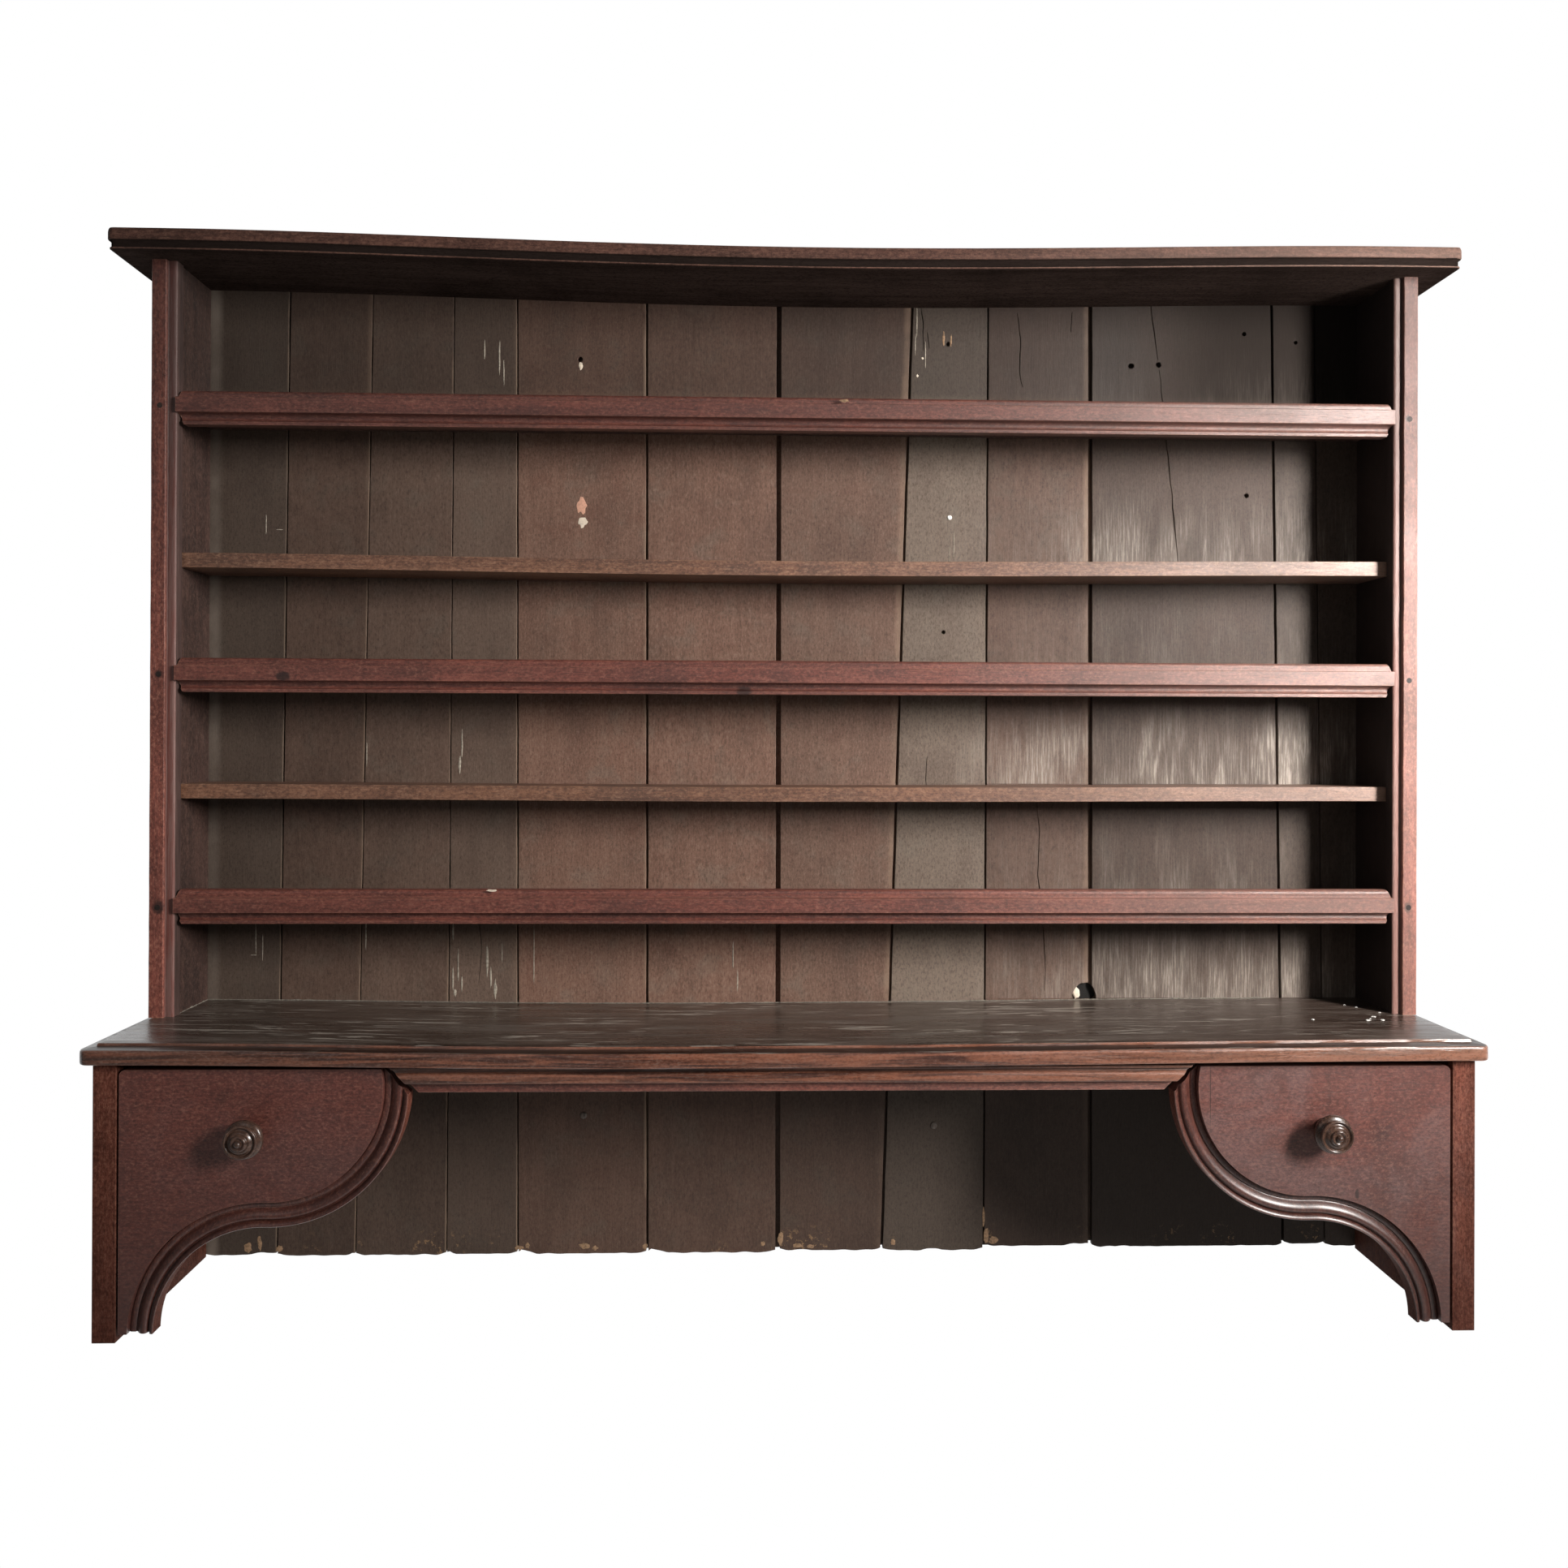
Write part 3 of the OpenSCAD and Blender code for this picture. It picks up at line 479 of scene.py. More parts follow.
stained_wood("shelf", "X", (*CASE[:2], OAK[2]), 0.55, 0.0, 0.4, 0.3, level=0.5)
stained_wood("case_x", "X", CORNICE, 0.65, 0.0, 0.4, 0.5, level=0.2, right_light=0.16)
stained_wood("case_under", "X", UNDERSIDE, 0.9, 0.0, 0.4, 0.0, level=0.02)
stained_wood("case_z", "Z", CASE, 0.6, 0.0, 0.3, 0.4, level=0.4, shade_below_cornice=0.45, right_light=0.25, outside=CASE_HALF)
for grain in "yx":
    stained_wood("bare_" + grain, grain.upper(), BARE, 0.7, 0.0, 0.3, 0.2, level=0.4)
stained_wood("knob", "Y", KNOB_WOOD, 0.3, 0.35, 0.05, 0.4, level=0.5, coat_rough=0.14)
stained_wood("peg", "Y", PEG, 0.6, 0.0, 0.1, 0.2, level=0.4)
board_wood()
worktop_wood()
plain("plaster", (0.72, 0.62, 0.5), 0.9, 0.3)
plain("pink_plaster", (0.62, 0.34, 0.24), 0.9, 0.3)
plain("bare_chip", (0.3, 0.185, 0.105), 0.8, 0.3, 0.5)
plain("paint", (0.42, 0.37, 0.3), 0.8, 0.2, 0.5)
plain("dust", (0.22, 0.2, 0.165), 0.95, 0.3, 0.4)
plain("iron", (0.11, 0.085, 0.07), 0.45, 0.1, 0.5)
plain("white_screw", (0.78, 0.77, 0.73), 0.5, 0.1)
# A near-black look for the painted shade in the mouse hole
plain("hole_shade", (0.006, 0.005, 0.004), 0.9, 0.1)

NODE_LOOKS = {
    "side_board": "case_z", "stile_": "red_z", "stile_pegs": "peg", "rail_": "red_x", "rail_shelf": "shelf",
    "plain_shelf": "oak", "base_panel": "panel", "apron": "red_x", "divider": "case_z", "runner": "bare_y",
    "cornice": "case_x", "worktop": "worktop", "back_board": "board",
}
DRAWER_LOOKS = {"front": "drawer", "moulding": "drawer", "side": "bare_y", "back": "bare_x",
                "bottom": "bare_x", "knob": "knob"}


def dress_nodes():
    """Gives each CAD node its material and a small bevel."""
    for name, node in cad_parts.items():
        if name.startswith("drawer"):
            key = next(look for ending, look in DRAWER_LOOKS.items() if name.endswith(ending))
        else:
            key = NODE_LOOKS[max((start for start in NODE_LOOKS if name.startswith(start)), key=len)]
        node.data.materials.clear()
        node.data.materials.append(looks[key])
        weld = node.modifiers.new("weld", "WELD")
        weld.merge_threshold = 0.01 * MM
        bevel = node.modifiers.new("bevel", "BEVEL")
        bevel.width = 0.8 * MM
        bevel.segments = 2
        bevel.limit_method = "ANGLE"
        bevel.angle_limit = math.radians(40)
        bevel.harden_normals = True


# Meshes

def make_piece(name, shape, look, replaced=(), body=RACK, sharp=35):
    """Adds a piece from points and faces, smooth up to an angle, and lets it ride on a body."""
    points, faces = shape
    mesh = bpy.data.meshes.new(name)
    mesh.from_pydata([tuple(p) for p in points], [], faces)
    work = bmesh.new()
    work.from_mesh(mesh)
    bmesh.ops.recalc_face_normals(work, faces=work.faces)
    work.to_mesh(mesh)
    work.free()
    mesh.materials.append(looks[look])
    mesh.shade_smooth()
    mesh.set_sharp_from_angle(angle=math.radians(sharp))
    piece = add_object(name, mesh)
    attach(piece, body)
    if replaced:
        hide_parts(*replaced)
    return piece


def second_look(piece, look, chosen):
    """Gives the chosen faces of a piece another material."""
    piece.data.materials.append(looks[look])
    for polygon in piece.data.polygons:
        polygon.material_index = int(chosen(polygon))


def keep(piece, name, values):
    """Stores a number for each point of a piece, for its material."""
    piece.data.attributes.new(name, "FLOAT", "POINT").data.foreach_set("value", [float(v) for v in values])


def loft(rings, solid=True):
    """Points and faces through rings of equal counts: a capped solid, or else a sheet."""
    count = len(rings[0])
    points = [p for ring in rings for p in ring]
    faces = []
    for a in range(0, len(points) - count, count):
        for j in range(count if solid else count - 1):
            k = (j + 1) % count
            faces.append((a + j, a + k, a + count + k, a + count + j))
    if solid:
        faces.append(tuple(reversed(range(count))))
        faces.append(tuple(range(len(points) - count, len(points))))
    return points, faces


def arc(cx, cy, r, start, end, steps):
    """Points on an arc, in degrees."""
    angles = [math.radians(start + (end - start) * i / steps) for i in range(steps + 1)]
    return [(cx + r * math.cos(t), cy + r * math.sin(t)) for t in angles]


def turn(count):
    """Angles of the points of a full circle."""
    return [math.tau * k / count for k in range(count)]


# Cornice and worktop

def moulded_board(name, node, look, profile, hollow_shade, corner, bend, z0, seed, end_wear=0, dull_below=0):
    """A board against the wall, with a moulded edge on its front and ends, and round front corners.

    profile is a list of (inset, height) from its underside to its top, and grime, a painted shade in its
    hollows, goes with it. The board is made of U-shaped rings, nested from the edge to the back boards,
    which stop it behind. bend is its sag, end_wear is how far its top edge is worn at the ends, and the
    edge is dull up to dull_below.
    """
    fronts, sides, turns = 120, 6, 6
    half, depth = high(node).x, -low(node).y
    leg = half - REBATE_HALF
    insets = [leg, leg + 0.1 * MM, leg + 15 * MM, leg + 30 * MM, leg + 50 * MM, depth + BOARD_FACE]
    edge = [(inset * MM, height * MM, dirt_and_shade) for (inset, height), dirt_and_shade in zip(profile, hollow_shade)]
    bottom, top = edge[0][1], edge[-1][1]
    sections = [(inset, bottom, 0) for inset in insets[::-1]] + edge + [(inset, top, 0) for inset in insets]
    rings = []
    for inset, height, dirt_and_shade in sections:
        back = 0.0 if inset <= leg else BOARD_FACE
        x_side, y_front = half - inset, -depth + inset
        r = max(corner - inset, 0.3 * MM)
        x_turn, y_turn = x_side - r, y_front + r
        side = [(x_side, back + (y_turn - back) * i / sides) for i in range(sides)]
        ring = [(-x, y) for x, y in side]
        ring += arc(-x_turn, y_turn, r, 180, 270, turns)
        ring += [(-x_turn + 2 * x_turn * i / fronts, y_front) for i in range(1, fronts)]
        ring += arc(x_turn, y_turn, r, 270, 360, turns)
        ring += reversed(side)
        worn = MM if inset < leg else 0
        lost = 0.7 * end_wear if height > (top + bottom) / 2 else 0
        rings.append([])
        for x, y in ring:
            end = max(0, 1 - (half - abs(x)) / (end_wear + 0.001 * MM)) ** 2
            narrower = 1 - abs(wander(seed + 1, y, 0.4 * worn, 0.05)) / half
            if y <= -MM:
                y += abs(wander(seed, x + 40 * height, 0.5 * worn, 0.05))
            rings[-1].append((x * narrower, y, z0 + height - end * lost + sag(x, *bend)))
    count, total = len(rings[0]), len(rings)
    points, faces = loft(rings + [rings[0]], solid=False)
    points = points[:count * total]
    faces = [tuple(i % len(points) for i in face) for face in faces]
    for i in range(total // 2 - 1):
        quad = [n * count for n in (i, i + 1, total - 2 - i, total - 1 - i)]
        faces += [tuple(quad), tuple(n + count - 1 for n in reversed(quad))]
    piece = make_piece(name, (points, faces), look, (node,))

    def dull(polygon):
        heights = [sections[v // count][1] for v in polygon.vertices]
        return polygon.normal.z < -0.9 or all(MM < height < dull_below for height in heights)

    second_look(piece, "case_under", dull)
    keep(piece, "hollow_shade", [dirt_and_shade for inset, height, dirt_and_shade in sections for i in range(count)])


NOSE = [(1.6, -22), (0.5, -21.3), (0, -19.8), (0, -9), (0.3, -6.6), (1.3, -5.2), (2.6, -4.7), (4, -4.4),
        (10, -3.9), (15.4, -3.4), (16.1, -2.6), (16.2, -1.1), (16.7, -0.3), (18, 0)]
# Painted shade on the shelf between the nose's roll and its top step, and at its underside
NOSE_SHADE = [0.4, 0, 0, 0, 0, 0, 0.3, 0.8, 0.85, 0.85, 0.2, 0, 0, 0]
CORNICE_EDGE = [
    (6, 0), (3, 0.1), (2.2, 0.6), (2, 1.7), (2.5, 2.2), (3.5, 2.6), (3.8, 3.6), (3.8, 8.6), (3.4, 10),
    (2.6, 10.8), (1.3, 11.1), (0.4, 11.6), (0, 12.6), (0, 23.6), (0.7, 25.2), (2.4, 26)
]
# Painted shade in the cornice's recessed foot, and a little at its lower and upper edges
CORNICE_SHADE = [0.3, 0.2, 0, 0, 0.5, 0.8, 0.85, 0.85, 0.85, 0.8, 0.3, 0, 0, 0, 0, 0.3]


def make_case_boards():
    moulded_board("cornice", "cornice_board", "case_x", CORNICE_EDGE, CORNICE_SHADE, 9 * MM,
                  CORNICE_SAG, z0=RACK_TOP, seed=3, end_wear=6 * MM, dull_below=11 * MM)
    moulded_board("worktop_board", "worktop", "worktop", NOSE, NOSE_SHADE, 13 * MM,
                  WORKTOP_SAG, z0=0, seed=11)


# Stiles, rails and apron

# Each point is (in from the outer side, out from the back of the rails, grime, bead): grime is a painted
# shade in the hollow and on the inner side, and bead marks the bead's painted reflection and shade
STILE_RING = [
    (0, 0, 0, 0), (0, 19.2, 0, 0), (0.8, 20, 0, 0), (17.7, 20, 0, 0), (18.4, 19.5, 0, 0), (18.7, 18.4, 0, 0),
    (18.9, 15.2, 0.3, 1), (19.4, 14.5, 0.4, 1), (20.2, 14.6, 0.2, 1), (22, 14.9, 0, 1), (24, 15.2, 0, 1),
    (26, 15.4, 0, 1), (27.6, 15.3, 0, 1), (28.8, 14.8, 0, 1), (29.6, 13.8, 0, 1), (30, 12.4, 0.1, 1),
    (30, 0, 0.3, 1)
]


def make_stile(side, sign):
    """A stile with a flat face, and a hollow and a bead on its inner edge. Its inner side is dark."""
    stations = 80
    rings = []
    for i in range(stations + 1):
        z = RACK_TOP * i / stations
        worn = abs(wander(sign + 41, z, 0.4 * MM, 0.05))
        edge = wander(sign + 44, z, 0.5 * MM, 0.03)
        rings.append([])
        for u, v, hollow_shade, bead in STILE_RING:
            x, y = CASE_HALF - u * MM, RAIL_BACK - v * MM
            if u < 2:
                x -= worn
            elif 17 < u < 24:
                x += edge
            elif u > 25 and v > 1:
                x += min(worn, 0.2 * MM)
            if v >= 19:
                y += 0.5 * worn
            rings[-1].append((sign * x, y, z))
    piece = make_piece(f"stile_board_{side}", loft(rings), "red_z", (f"stile_{side}",))

    # The inner side takes the case's wood, which paints shade on the right stile's inner side
    def inward(polygon):
        return -sign * polygon.normal.x > 0.9 and abs(polygon.center.x) < STILE_HALF + 2 * MM

    second_look(piece, "case_z", inward)
    keep(piece, "hollow_shade", [p[2] for p in STILE_RING] * len(rings))
    keep(piece, "bead", [p[3] for p in STILE_RING] * len(rings))


def make_rails():
    """Plate rails: a foot with a lip and a hollow, a flat band, and a bead. The ends of both slope."""
    foot, band_top, thick, front, bead, lip = 14.5, 33.5, 20, 13, 5, 4.5
    hollow, stations = (foot - lip) / 2, 90
    section = [(0, 0), (front - 0.5, 0), (front, 0.5), (front, lip - 0.6), (front - 0.6, lip)]
    section += arc(front, lip + hollow, hollow, 255, 105, 8)
    section += [(thick - 0.7, foot), (thick, foot + 0.7), (thick, band_top - 0.7), (thick - 0.7, band_top),
                (front, band_top + 0.2)]
    section += arc(front - bead, band_top + bead, bead, -15, 90, 8)
    section += [(0, band_top + 2 * bead)]
    for seed, node in enumerate(("rail_high", "rail_mid", "rail_low"), 20):
        rings = []
        for i in range(stations + 1):
            rings.append([])
            for out, up in section:
                slope = 0.5 * max(foot - up, up - band_top, 0)
                x = (STILE_HALF - slope * MM) * (2 * i / stations - 1)
                y = RAIL_BACK - out * MM + abs(wander(seed, x, 0.25 * MM, 0.06))
                rings[-1].append((x, y, low(node).z + up * MM))
        make_piece(node + "_board", loft(rings), "red_x", (node,))


APRON_RING = [
    (0, 0), (9, 0), (9, -1), (9.8, -1.6), (10, -3), (9.4, -4), (8.2, -4.4), (7.8, -5.2), (8.6, -5.9),
    (9.7, -6.7), (10, -8), (9.6, -9.3), (8.2, -10), (6.8, -10.6), (6.2, -11.8), (6.5, -12.9), (7.8, -14),
    (9.3, -15.6), (9.9, -17.4), (10, -20), (10, -24), (9.3, -25.4), (8, -26), (0, -26)
]
# Painted shade in the apron moulding's grooves, just under the worktop, and a little at its foot
APRON_SHADE = [0.5, 0.6, 0.6, 0.5, 0.4, 0.6, 0.7, 0.6, 0.2, 0, 0, 0.1, 0.6, 0.7, 0.7, 0.5, 0.1, 0, 0, 0, 0, 0,
               0.2, 0.3]


def make_apron():
    """The moulding on the apron. Its top follows the worktop's sag, and its ends slope."""
    node = "apron_moulding"
    stations = 90
    reach, top, face = high(node).x, high(node).z, low(node).y + 10 * MM
    rings = []
    for i in range(stations + 1):
        rings.append([])
        for out, up in APRON_RING:
            z = WORKTOP_UNDER + up * MM
            x = (reach + z - top) * (2 * i / stations - 1)
            y = face - out * MM + abs(wander(31, x, 0.3 * MM, 0.06))
            rings[-1].append((x, y, z + (sag(x, *WORKTOP_SAG) if up == 0 else 0)))
    piece = make_piece("apron_mould", loft(rings), "worktop", (node,))
    keep(piece, "hollow_shade", APRON_SHADE * len(rings))


# Drawers

# Radii of the scroll's belly and hollow, and their centres, in from the outer edge and down from the top
BELLY_R, HOLLOW_R, BELLY_IN, BELLY_DROP, HOLLOW_IN = 159, 125, 172, 24, 164
DRAWER_H, CUT_PLACE = 305, 301
SCROLL_RING = [
    (0, 0), (0, 18.6), (0.6, 19.3), (1.6, 19.2), (3, 18.6), (4.4, 17.4), (5.4, 15.8), (5.9, 14.2),
    (6.3, 13.4), (6.9, 13.6), (7.4, 14.8), (8, 16.1), (8.9, 17.2), (10.1, 17.9), (11.5, 18.1), (13.2, 17.8),
    (15, 17), (16.8, 15.7), (18.4, 14.2), (19.6, 12.8), (20.5, 11.9), (21.2, 11.6), (21.6, 12.4),
    (22.4, 12.9), (27.4, 12.8), (28.5, 12.3), (29, 11.3), (29, 0)
]


def make_scroll(side, sign):
    """The moulded edge of a drawer front, swept along its belly and then along its hollow."""
    node = f"drawer_{side}_moulding"
    turns = 40
    drop = BELLY_DROP + math.sqrt((BELLY_R + HOLLOW_R) ** 2 - (BELLY_IN - HOLLOW_IN) ** 2)
    tilt = math.degrees(math.atan2(HOLLOW_IN - BELLY_IN, drop - BELLY_DROP))
    back, top = high(node).y, high(node).z
    paths = []
    for q, out in SCROLL_RING:
        belly, hollow = BELLY_R - q, HOLLOW_R + q
        cut = math.degrees(math.acos((CUT_PLACE - BELLY_IN + BELLY_DROP) / (belly * math.sqrt(2))))
        start = min(45 - cut, math.degrees(math.asin(BELLY_DROP / belly)))
        end = 180 + math.degrees(math.asin((DRAWER_H - drop) / hollow))
        path = arc(BELLY_IN, -BELLY_DROP, belly, start, tilt - 90, turns)
        path += arc(HOLLOW_IN, -drop, hollow, tilt + 90, end, turns)[1:]
        paths.append([(sign * (DRAWER_EDGE - x * MM), back - out * MM, top + z * MM) for x, z in path])
    piece = make_piece(f"scroll_{side}", loft(list(zip(*paths))), "scroll", (node,),
                       f"drawer_{side}", 40)
    second_look(piece, "panel", lambda polygon: all(v % len(SCROLL_RING) < 2 for v in polygon.vertices))


# Each point is (radius, out from the drawer's face), from the spigot's end to the middle of the knob
KNOB = [
    (6, -18), (6, -0.1), (13.2, 0), (13.6, 2.5), (13.2, 5.2), (11.6, 7), (9.6, 8), (9.2, 9.2), (10.4, 10),
    (13.2, 10.4), (14.2, 11.6), (14, 13), (13, 14), (14.2, 14.8), (18, 15.6), (20.8, 17), (22.2, 18.9),
    (22.5, 20.8), (22, 22.7), (20.5, 24.2), (18.2, 25), (17.1, 25.7), (17.2, 27), (18.3, 27.9), (19.2, 29.2),
    (19.4, 30.6), (19, 31.8), (18.1, 32.4), (17, 32.3), (16.1, 31.2), (15.2, 30.2), (14.4, 30.3),
    (13.3, 31.6), (12, 32.9), (10.6, 33.6), (9.6, 33.4), (9.1, 33.8), (9.1, 35.2), (8.4, 36.4), (7.2, 36.8),
    (6, 36.3), (5, 35.4), (4.3, 35.6), (3.8, 37), (3.3, 38.5), (2.4, 39.5), (1.2, 39.9), (0.4, 40)
]


def make_knob(side):
    node = f"drawer_{side}_knob"
    centre = (low(node) + high(node)) / 2
    rings = [[(centre.x + r * MM * math.cos(t), DRAWER_FACE - out * MM, centre.z + r * MM * math.sin(t))
              for t in turn(64)] for r, out in KNOB]
    make_piece(f"knob_{side}", loft(rings), "knob", (node,), f"drawer_{side}", 50)


# Back boards

BOARD_TONES = [0.6, 0.2, 0.3, 0.45, 0, 0, 0.1, 0.8, 0.15, 0.3, 0.6, 0.6]
BOARD_SHADES = [0.4, 0.51, 0.61, 0.68, 0.99, 0.97, 0.8, 0.8, 0.54, 0.27, 0.29, 0.42]
BOARD_LIT_EDGES = {7: 1.0, 9: 0.9, 2: 0.3, 4: 0.3}
# By the board's number, holes as (x, z, half width, half height)
BOARD_HOLES = {
    5: [(-287, 869, 3.5, 3.5)],
    8: [(215, 896, 2.4, 3.4), (210, 501, 2.6, 2.6)],
    10: [(468, 869, 4, 3.6), (506, 871, 3.6, 3.8), (625, 915, 3, 3), (629, 692, 3.2, 3)],
    11: [(697, 904, 2.6, 2.6)],
}
# By the board's number, cracks as lines of (x, z)
BOARD_CRACKS = {
    4: [[(-420, 110), (-417, 60), (-421, 20)]],
    8: [[(188, 330), (186, 300), (189, 270)], [(177, 948), (181, 922), (180, 886)], [(186, 912), (189, 890)]],
    9: [[(310, 940), (315, 905), (313, 862), (318, 838)], [(386, 942), (384, 915)],
        [(338, 280), (343, 230), (341, 170), (347, 120), (352, 40), (350, 10)]],
    10: [[(493, 960), (495, 951), (501, 905), (505, 878)],
         [(507, 864), (511, 824), (520, 740), (534, 599), (535, 570)]],
}
# x, z, half width and height
MOUSE_HOLE = (406, 0, 16, 21)
BOX_FACES = ((0, 1, 2, 3), (7, 6, 5, 4), (0, 4, 5, 1), (1, 5, 6, 2), (2, 6, 7, 3), (3, 7, 4, 0))


def board_half(node, y):
    """Edges of a CAD board's face at depth y: left and right as functions of height, foot and head."""
    close = 0.05 * MM
    points = np.array([v.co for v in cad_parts[node].data.vertices])
    points = points[np.abs(points[:, 1] - y) < close]
    foot, head = points[:, 2].min(), points[:, 2].max()
    at_foot, at_head = (points[np.abs(points[:, 2] - z) < close][:, 0] for z in (foot, head))

    def edge(x_foot, x_head):
        return lambda z: x_foot + (x_head - x_foot) * ((z - foot) / (head - foot))

    return edge(at_foot.min(), at_head.min()), edge(at_foot.max(), at_head.max()), foot, head


def ragged(x, seed):
    """Height of a board's worn foot over its lowest point."""
    saw = 1.2 * MM * (0.5 + noise_at(x * 60, seed, 0))
    bites = max(0, noise_at(x * 25, seed * 3.3, 5) - 0.25) * 9 * MM
    return max(0, saw) + bites


def mouse_edge(x, z, side):
    """x of a board's edge where the mouse hole bites into it. side is 1 for a left edge, -1 for a right."""
    x0, z0, half, tall = (v * MM for v in MOUSE_HOLE)
    if not z0 - 3 * MM < z < z0 + tall or abs(x - x0) > half:
        return x
    bite = half * math.sqrt(1 - (max(z - z0, 0) / tall) ** 2) * (1 + 0.15 * noise_at(z * 90, side, 3))
    return max(x, x0 + bite) if side > 0 else min(x, x0 - bite)


def board_outline(number, left, right, foot, head):
    """Points around a board: worn left edge, ragged foot, worn right edge."""
    stations, corner, saw_step = 90, 2.5, 4 * MM
    heights = [foot + (head - foot) * i / stations for i in range(stations + 1)]
    heights = sorted(heights + [z * MM for z in range(-4, MOUSE_HOLE[3] + 4)])
    edges = []
    for x_at, seed, side in ((left, number, 1), (right, number + 0.5, -1)):
        worn = [x_at(z) + side * abs(wander(seed, z, 0.8 * MM, 0.07)) for z in heights]
        line = [(mouse_edge(x, z, side), z) for x, z in zip(worn, heights)]
        line[0] = (line[0][0], foot + 3.5 * MM)
        edges.append(line)
    width = right(foot) - left(foot)
    steps = max(8, int(width / saw_step))
    feet = []
    for i in range(1, steps):
        x = left(foot) + width * i / steps
        rounding = max(0, 1 - min(i, steps - i) / corner) * 3 * MM
        feet.append((x, foot + ragged(x, number) + rounding))
    return edges[0][::-1] + feet + edges[1]


def slit(line, seed):
    """A thin closed outline along a crack."""
    dense = []
    for (x0, z0), (x1, z1) in zip(line, line[1:]):
        steps = max(2, int(abs(z1 - z0) / 6))
        dense += [(x0 + (x1 - x0) * i / steps, z0 + (z1 - z0) * i / steps) for i in range(steps)]
    dense.append(line[-1])
    lefts, rights = [], []
    for i, (x, z) in enumerate(dense):
        share = i / (len(dense) - 1)
        half = 0.12 + 0.5 * math.sin(math.pi * share) * (0.7 + noise_at(z / 40, seed, 0))
        x += 1.6 * noise_at(z / 22, seed, 9)
        lefts.append(((x - half) * MM, z * MM))
        rights.append(((x + half) * MM, z * MM))
    return rights + lefts[::-1]


def hole(x, z, wide, tall):
    """An uneven closed outline around a hole."""
    outline = []
    for k, t in enumerate(turn(14)):
        bulge = 1 + 0.18 * noise_at(k * 0.9, x, z)
        outline.append(((x + wide * bulge * math.cos(t)) * MM, (z - tall * bulge * math.sin(t)) * MM))
    return outline


def board_front(number, name, outline):
    """Points and faces of a board's front half, filled between outline, holes and cracks."""
    round_over = 0.6 * MM
    curve = bpy.data.curves.new(name, "CURVE")
    curve.dimensions = "2D"
    curve.fill_mode = "BOTH"
    curve.extrude = (BOARD_MIDDLE - BOARD_FACE) / 2 - round_over
    curve.bevel_depth = round_over
    curve.bevel_resolution = 2
    curve.offset = -round_over
    holes = [hole(*place) for place in BOARD_HOLES.get(number, [])]
    slits = [slit(line, number + i) for i, line in enumerate(BOARD_CRACKS.get(number, []))]
    for points in [outline] + holes + slits:
        spline = curve.splines.new("POLY")
        spline.points.add(len(points) - 1)
        for place, (x, z) in zip(spline.points, points):
            place.co = (x, z, 0, 1)
        spline.use_cyclic_u = True
    holder = add_object(name, curve)
    bpy.context.view_layer.update()
    flat = bpy.data.meshes.new_from_object(holder.evaluated_get(bpy.context.evaluated_depsgraph_get()))
    bpy.data.objects.remove(holder)
    centre = (BOARD_FACE + BOARD_MIDDLE) / 2
    points = [(v.co.x, centre - v.co.z, v.co.y) for v in flat.vertices]
    return points, [tuple(p.vertices) for p in flat.polygons]


def make_board(number):
    """A back board: a front half with worn edges, cracks and holes, and a plain rear half."""
    node = f"back_board_{number:02d}"
    left, right, foot, head = board_half(node, BOARD_FACE)
    points, faces = board_front(number, node + "_front", board_outline(number, left, right, foot, head))
    rear_left, rear_right, rear_foot, rear_head = board_half(node, 0)
    rear_foot += 4 * MM
    base = len(points)
    for y in (BOARD_MIDDLE, -0.01 * MM):
        points += [(rear_left(rear_foot), y, rear_foot), (rear_right(rear_foot), y, rear_foot),
                   (rear_right(rear_head), y, rear_head), (rear_left(rear_head), y, rear_head)]
    faces += [tuple(base + i for i in quad) for quad in BOX_FACES]
    piece = make_piece(f"plank_{number:02d}", (points, faces), "board", (node,))
    keep(piece, "across", [(x - left(z)) / (right(z) - left(z)) for x, y, z in points])
    keep(piece, "tone", [BOARD_TONES[number - 1]] * len(points))
    keep(piece, "shade", [BOARD_SHADES[number - 1]] * len(points))
    keep(piece, "lit_edge", [BOARD_LIT_EDGES.get(number, 0)] * len(points))


# Small marks of age

def add_flake(shape, centre, upward, wide, tall, thick, seed):
    """Adds an irregular chip, lying along X and upward, to points and faces. wide and tall are halves."""
    across = Vector((1, 0, 0))
    out = across.cross(upward)
    rings = []
    for share, height in ((1.0, -0.4), (1.0, 0.5), (0.7, 1.0)):
        rings.append([])
        for t in turn(14):
            r = share * (1 + 0.55 * noise_at(2.3 * math.cos(t), 2.3 * math.sin(t), seed * 3.7))
            rings[-1].append(centre + across * wide * r * math.cos(t) + upward * tall * r * math.sin(t)
                             + out * thick * height)
    first = len(shape[0])
    points, faces = loft(rings)
    shape[0].extend(points)
    shape[1].extend(tuple(first + i for i in face) for face in faces)


def wall_flakes(name, look, face, spots, thick=0.5):
    """Chips on a face that looks to the front. Each spot is (x, z, half width, half height)."""
    shape = ([], [])
    for i, (x, z, wide, tall) in enumerate(spots):
        add_flake(shape, Vector((x * MM, face, z * MM)), Vector((0, 0, 1)), wide * MM, tall * MM, thick * MM,
                  i + len(name))
    make_piece(name, shape, look, sharp=30)


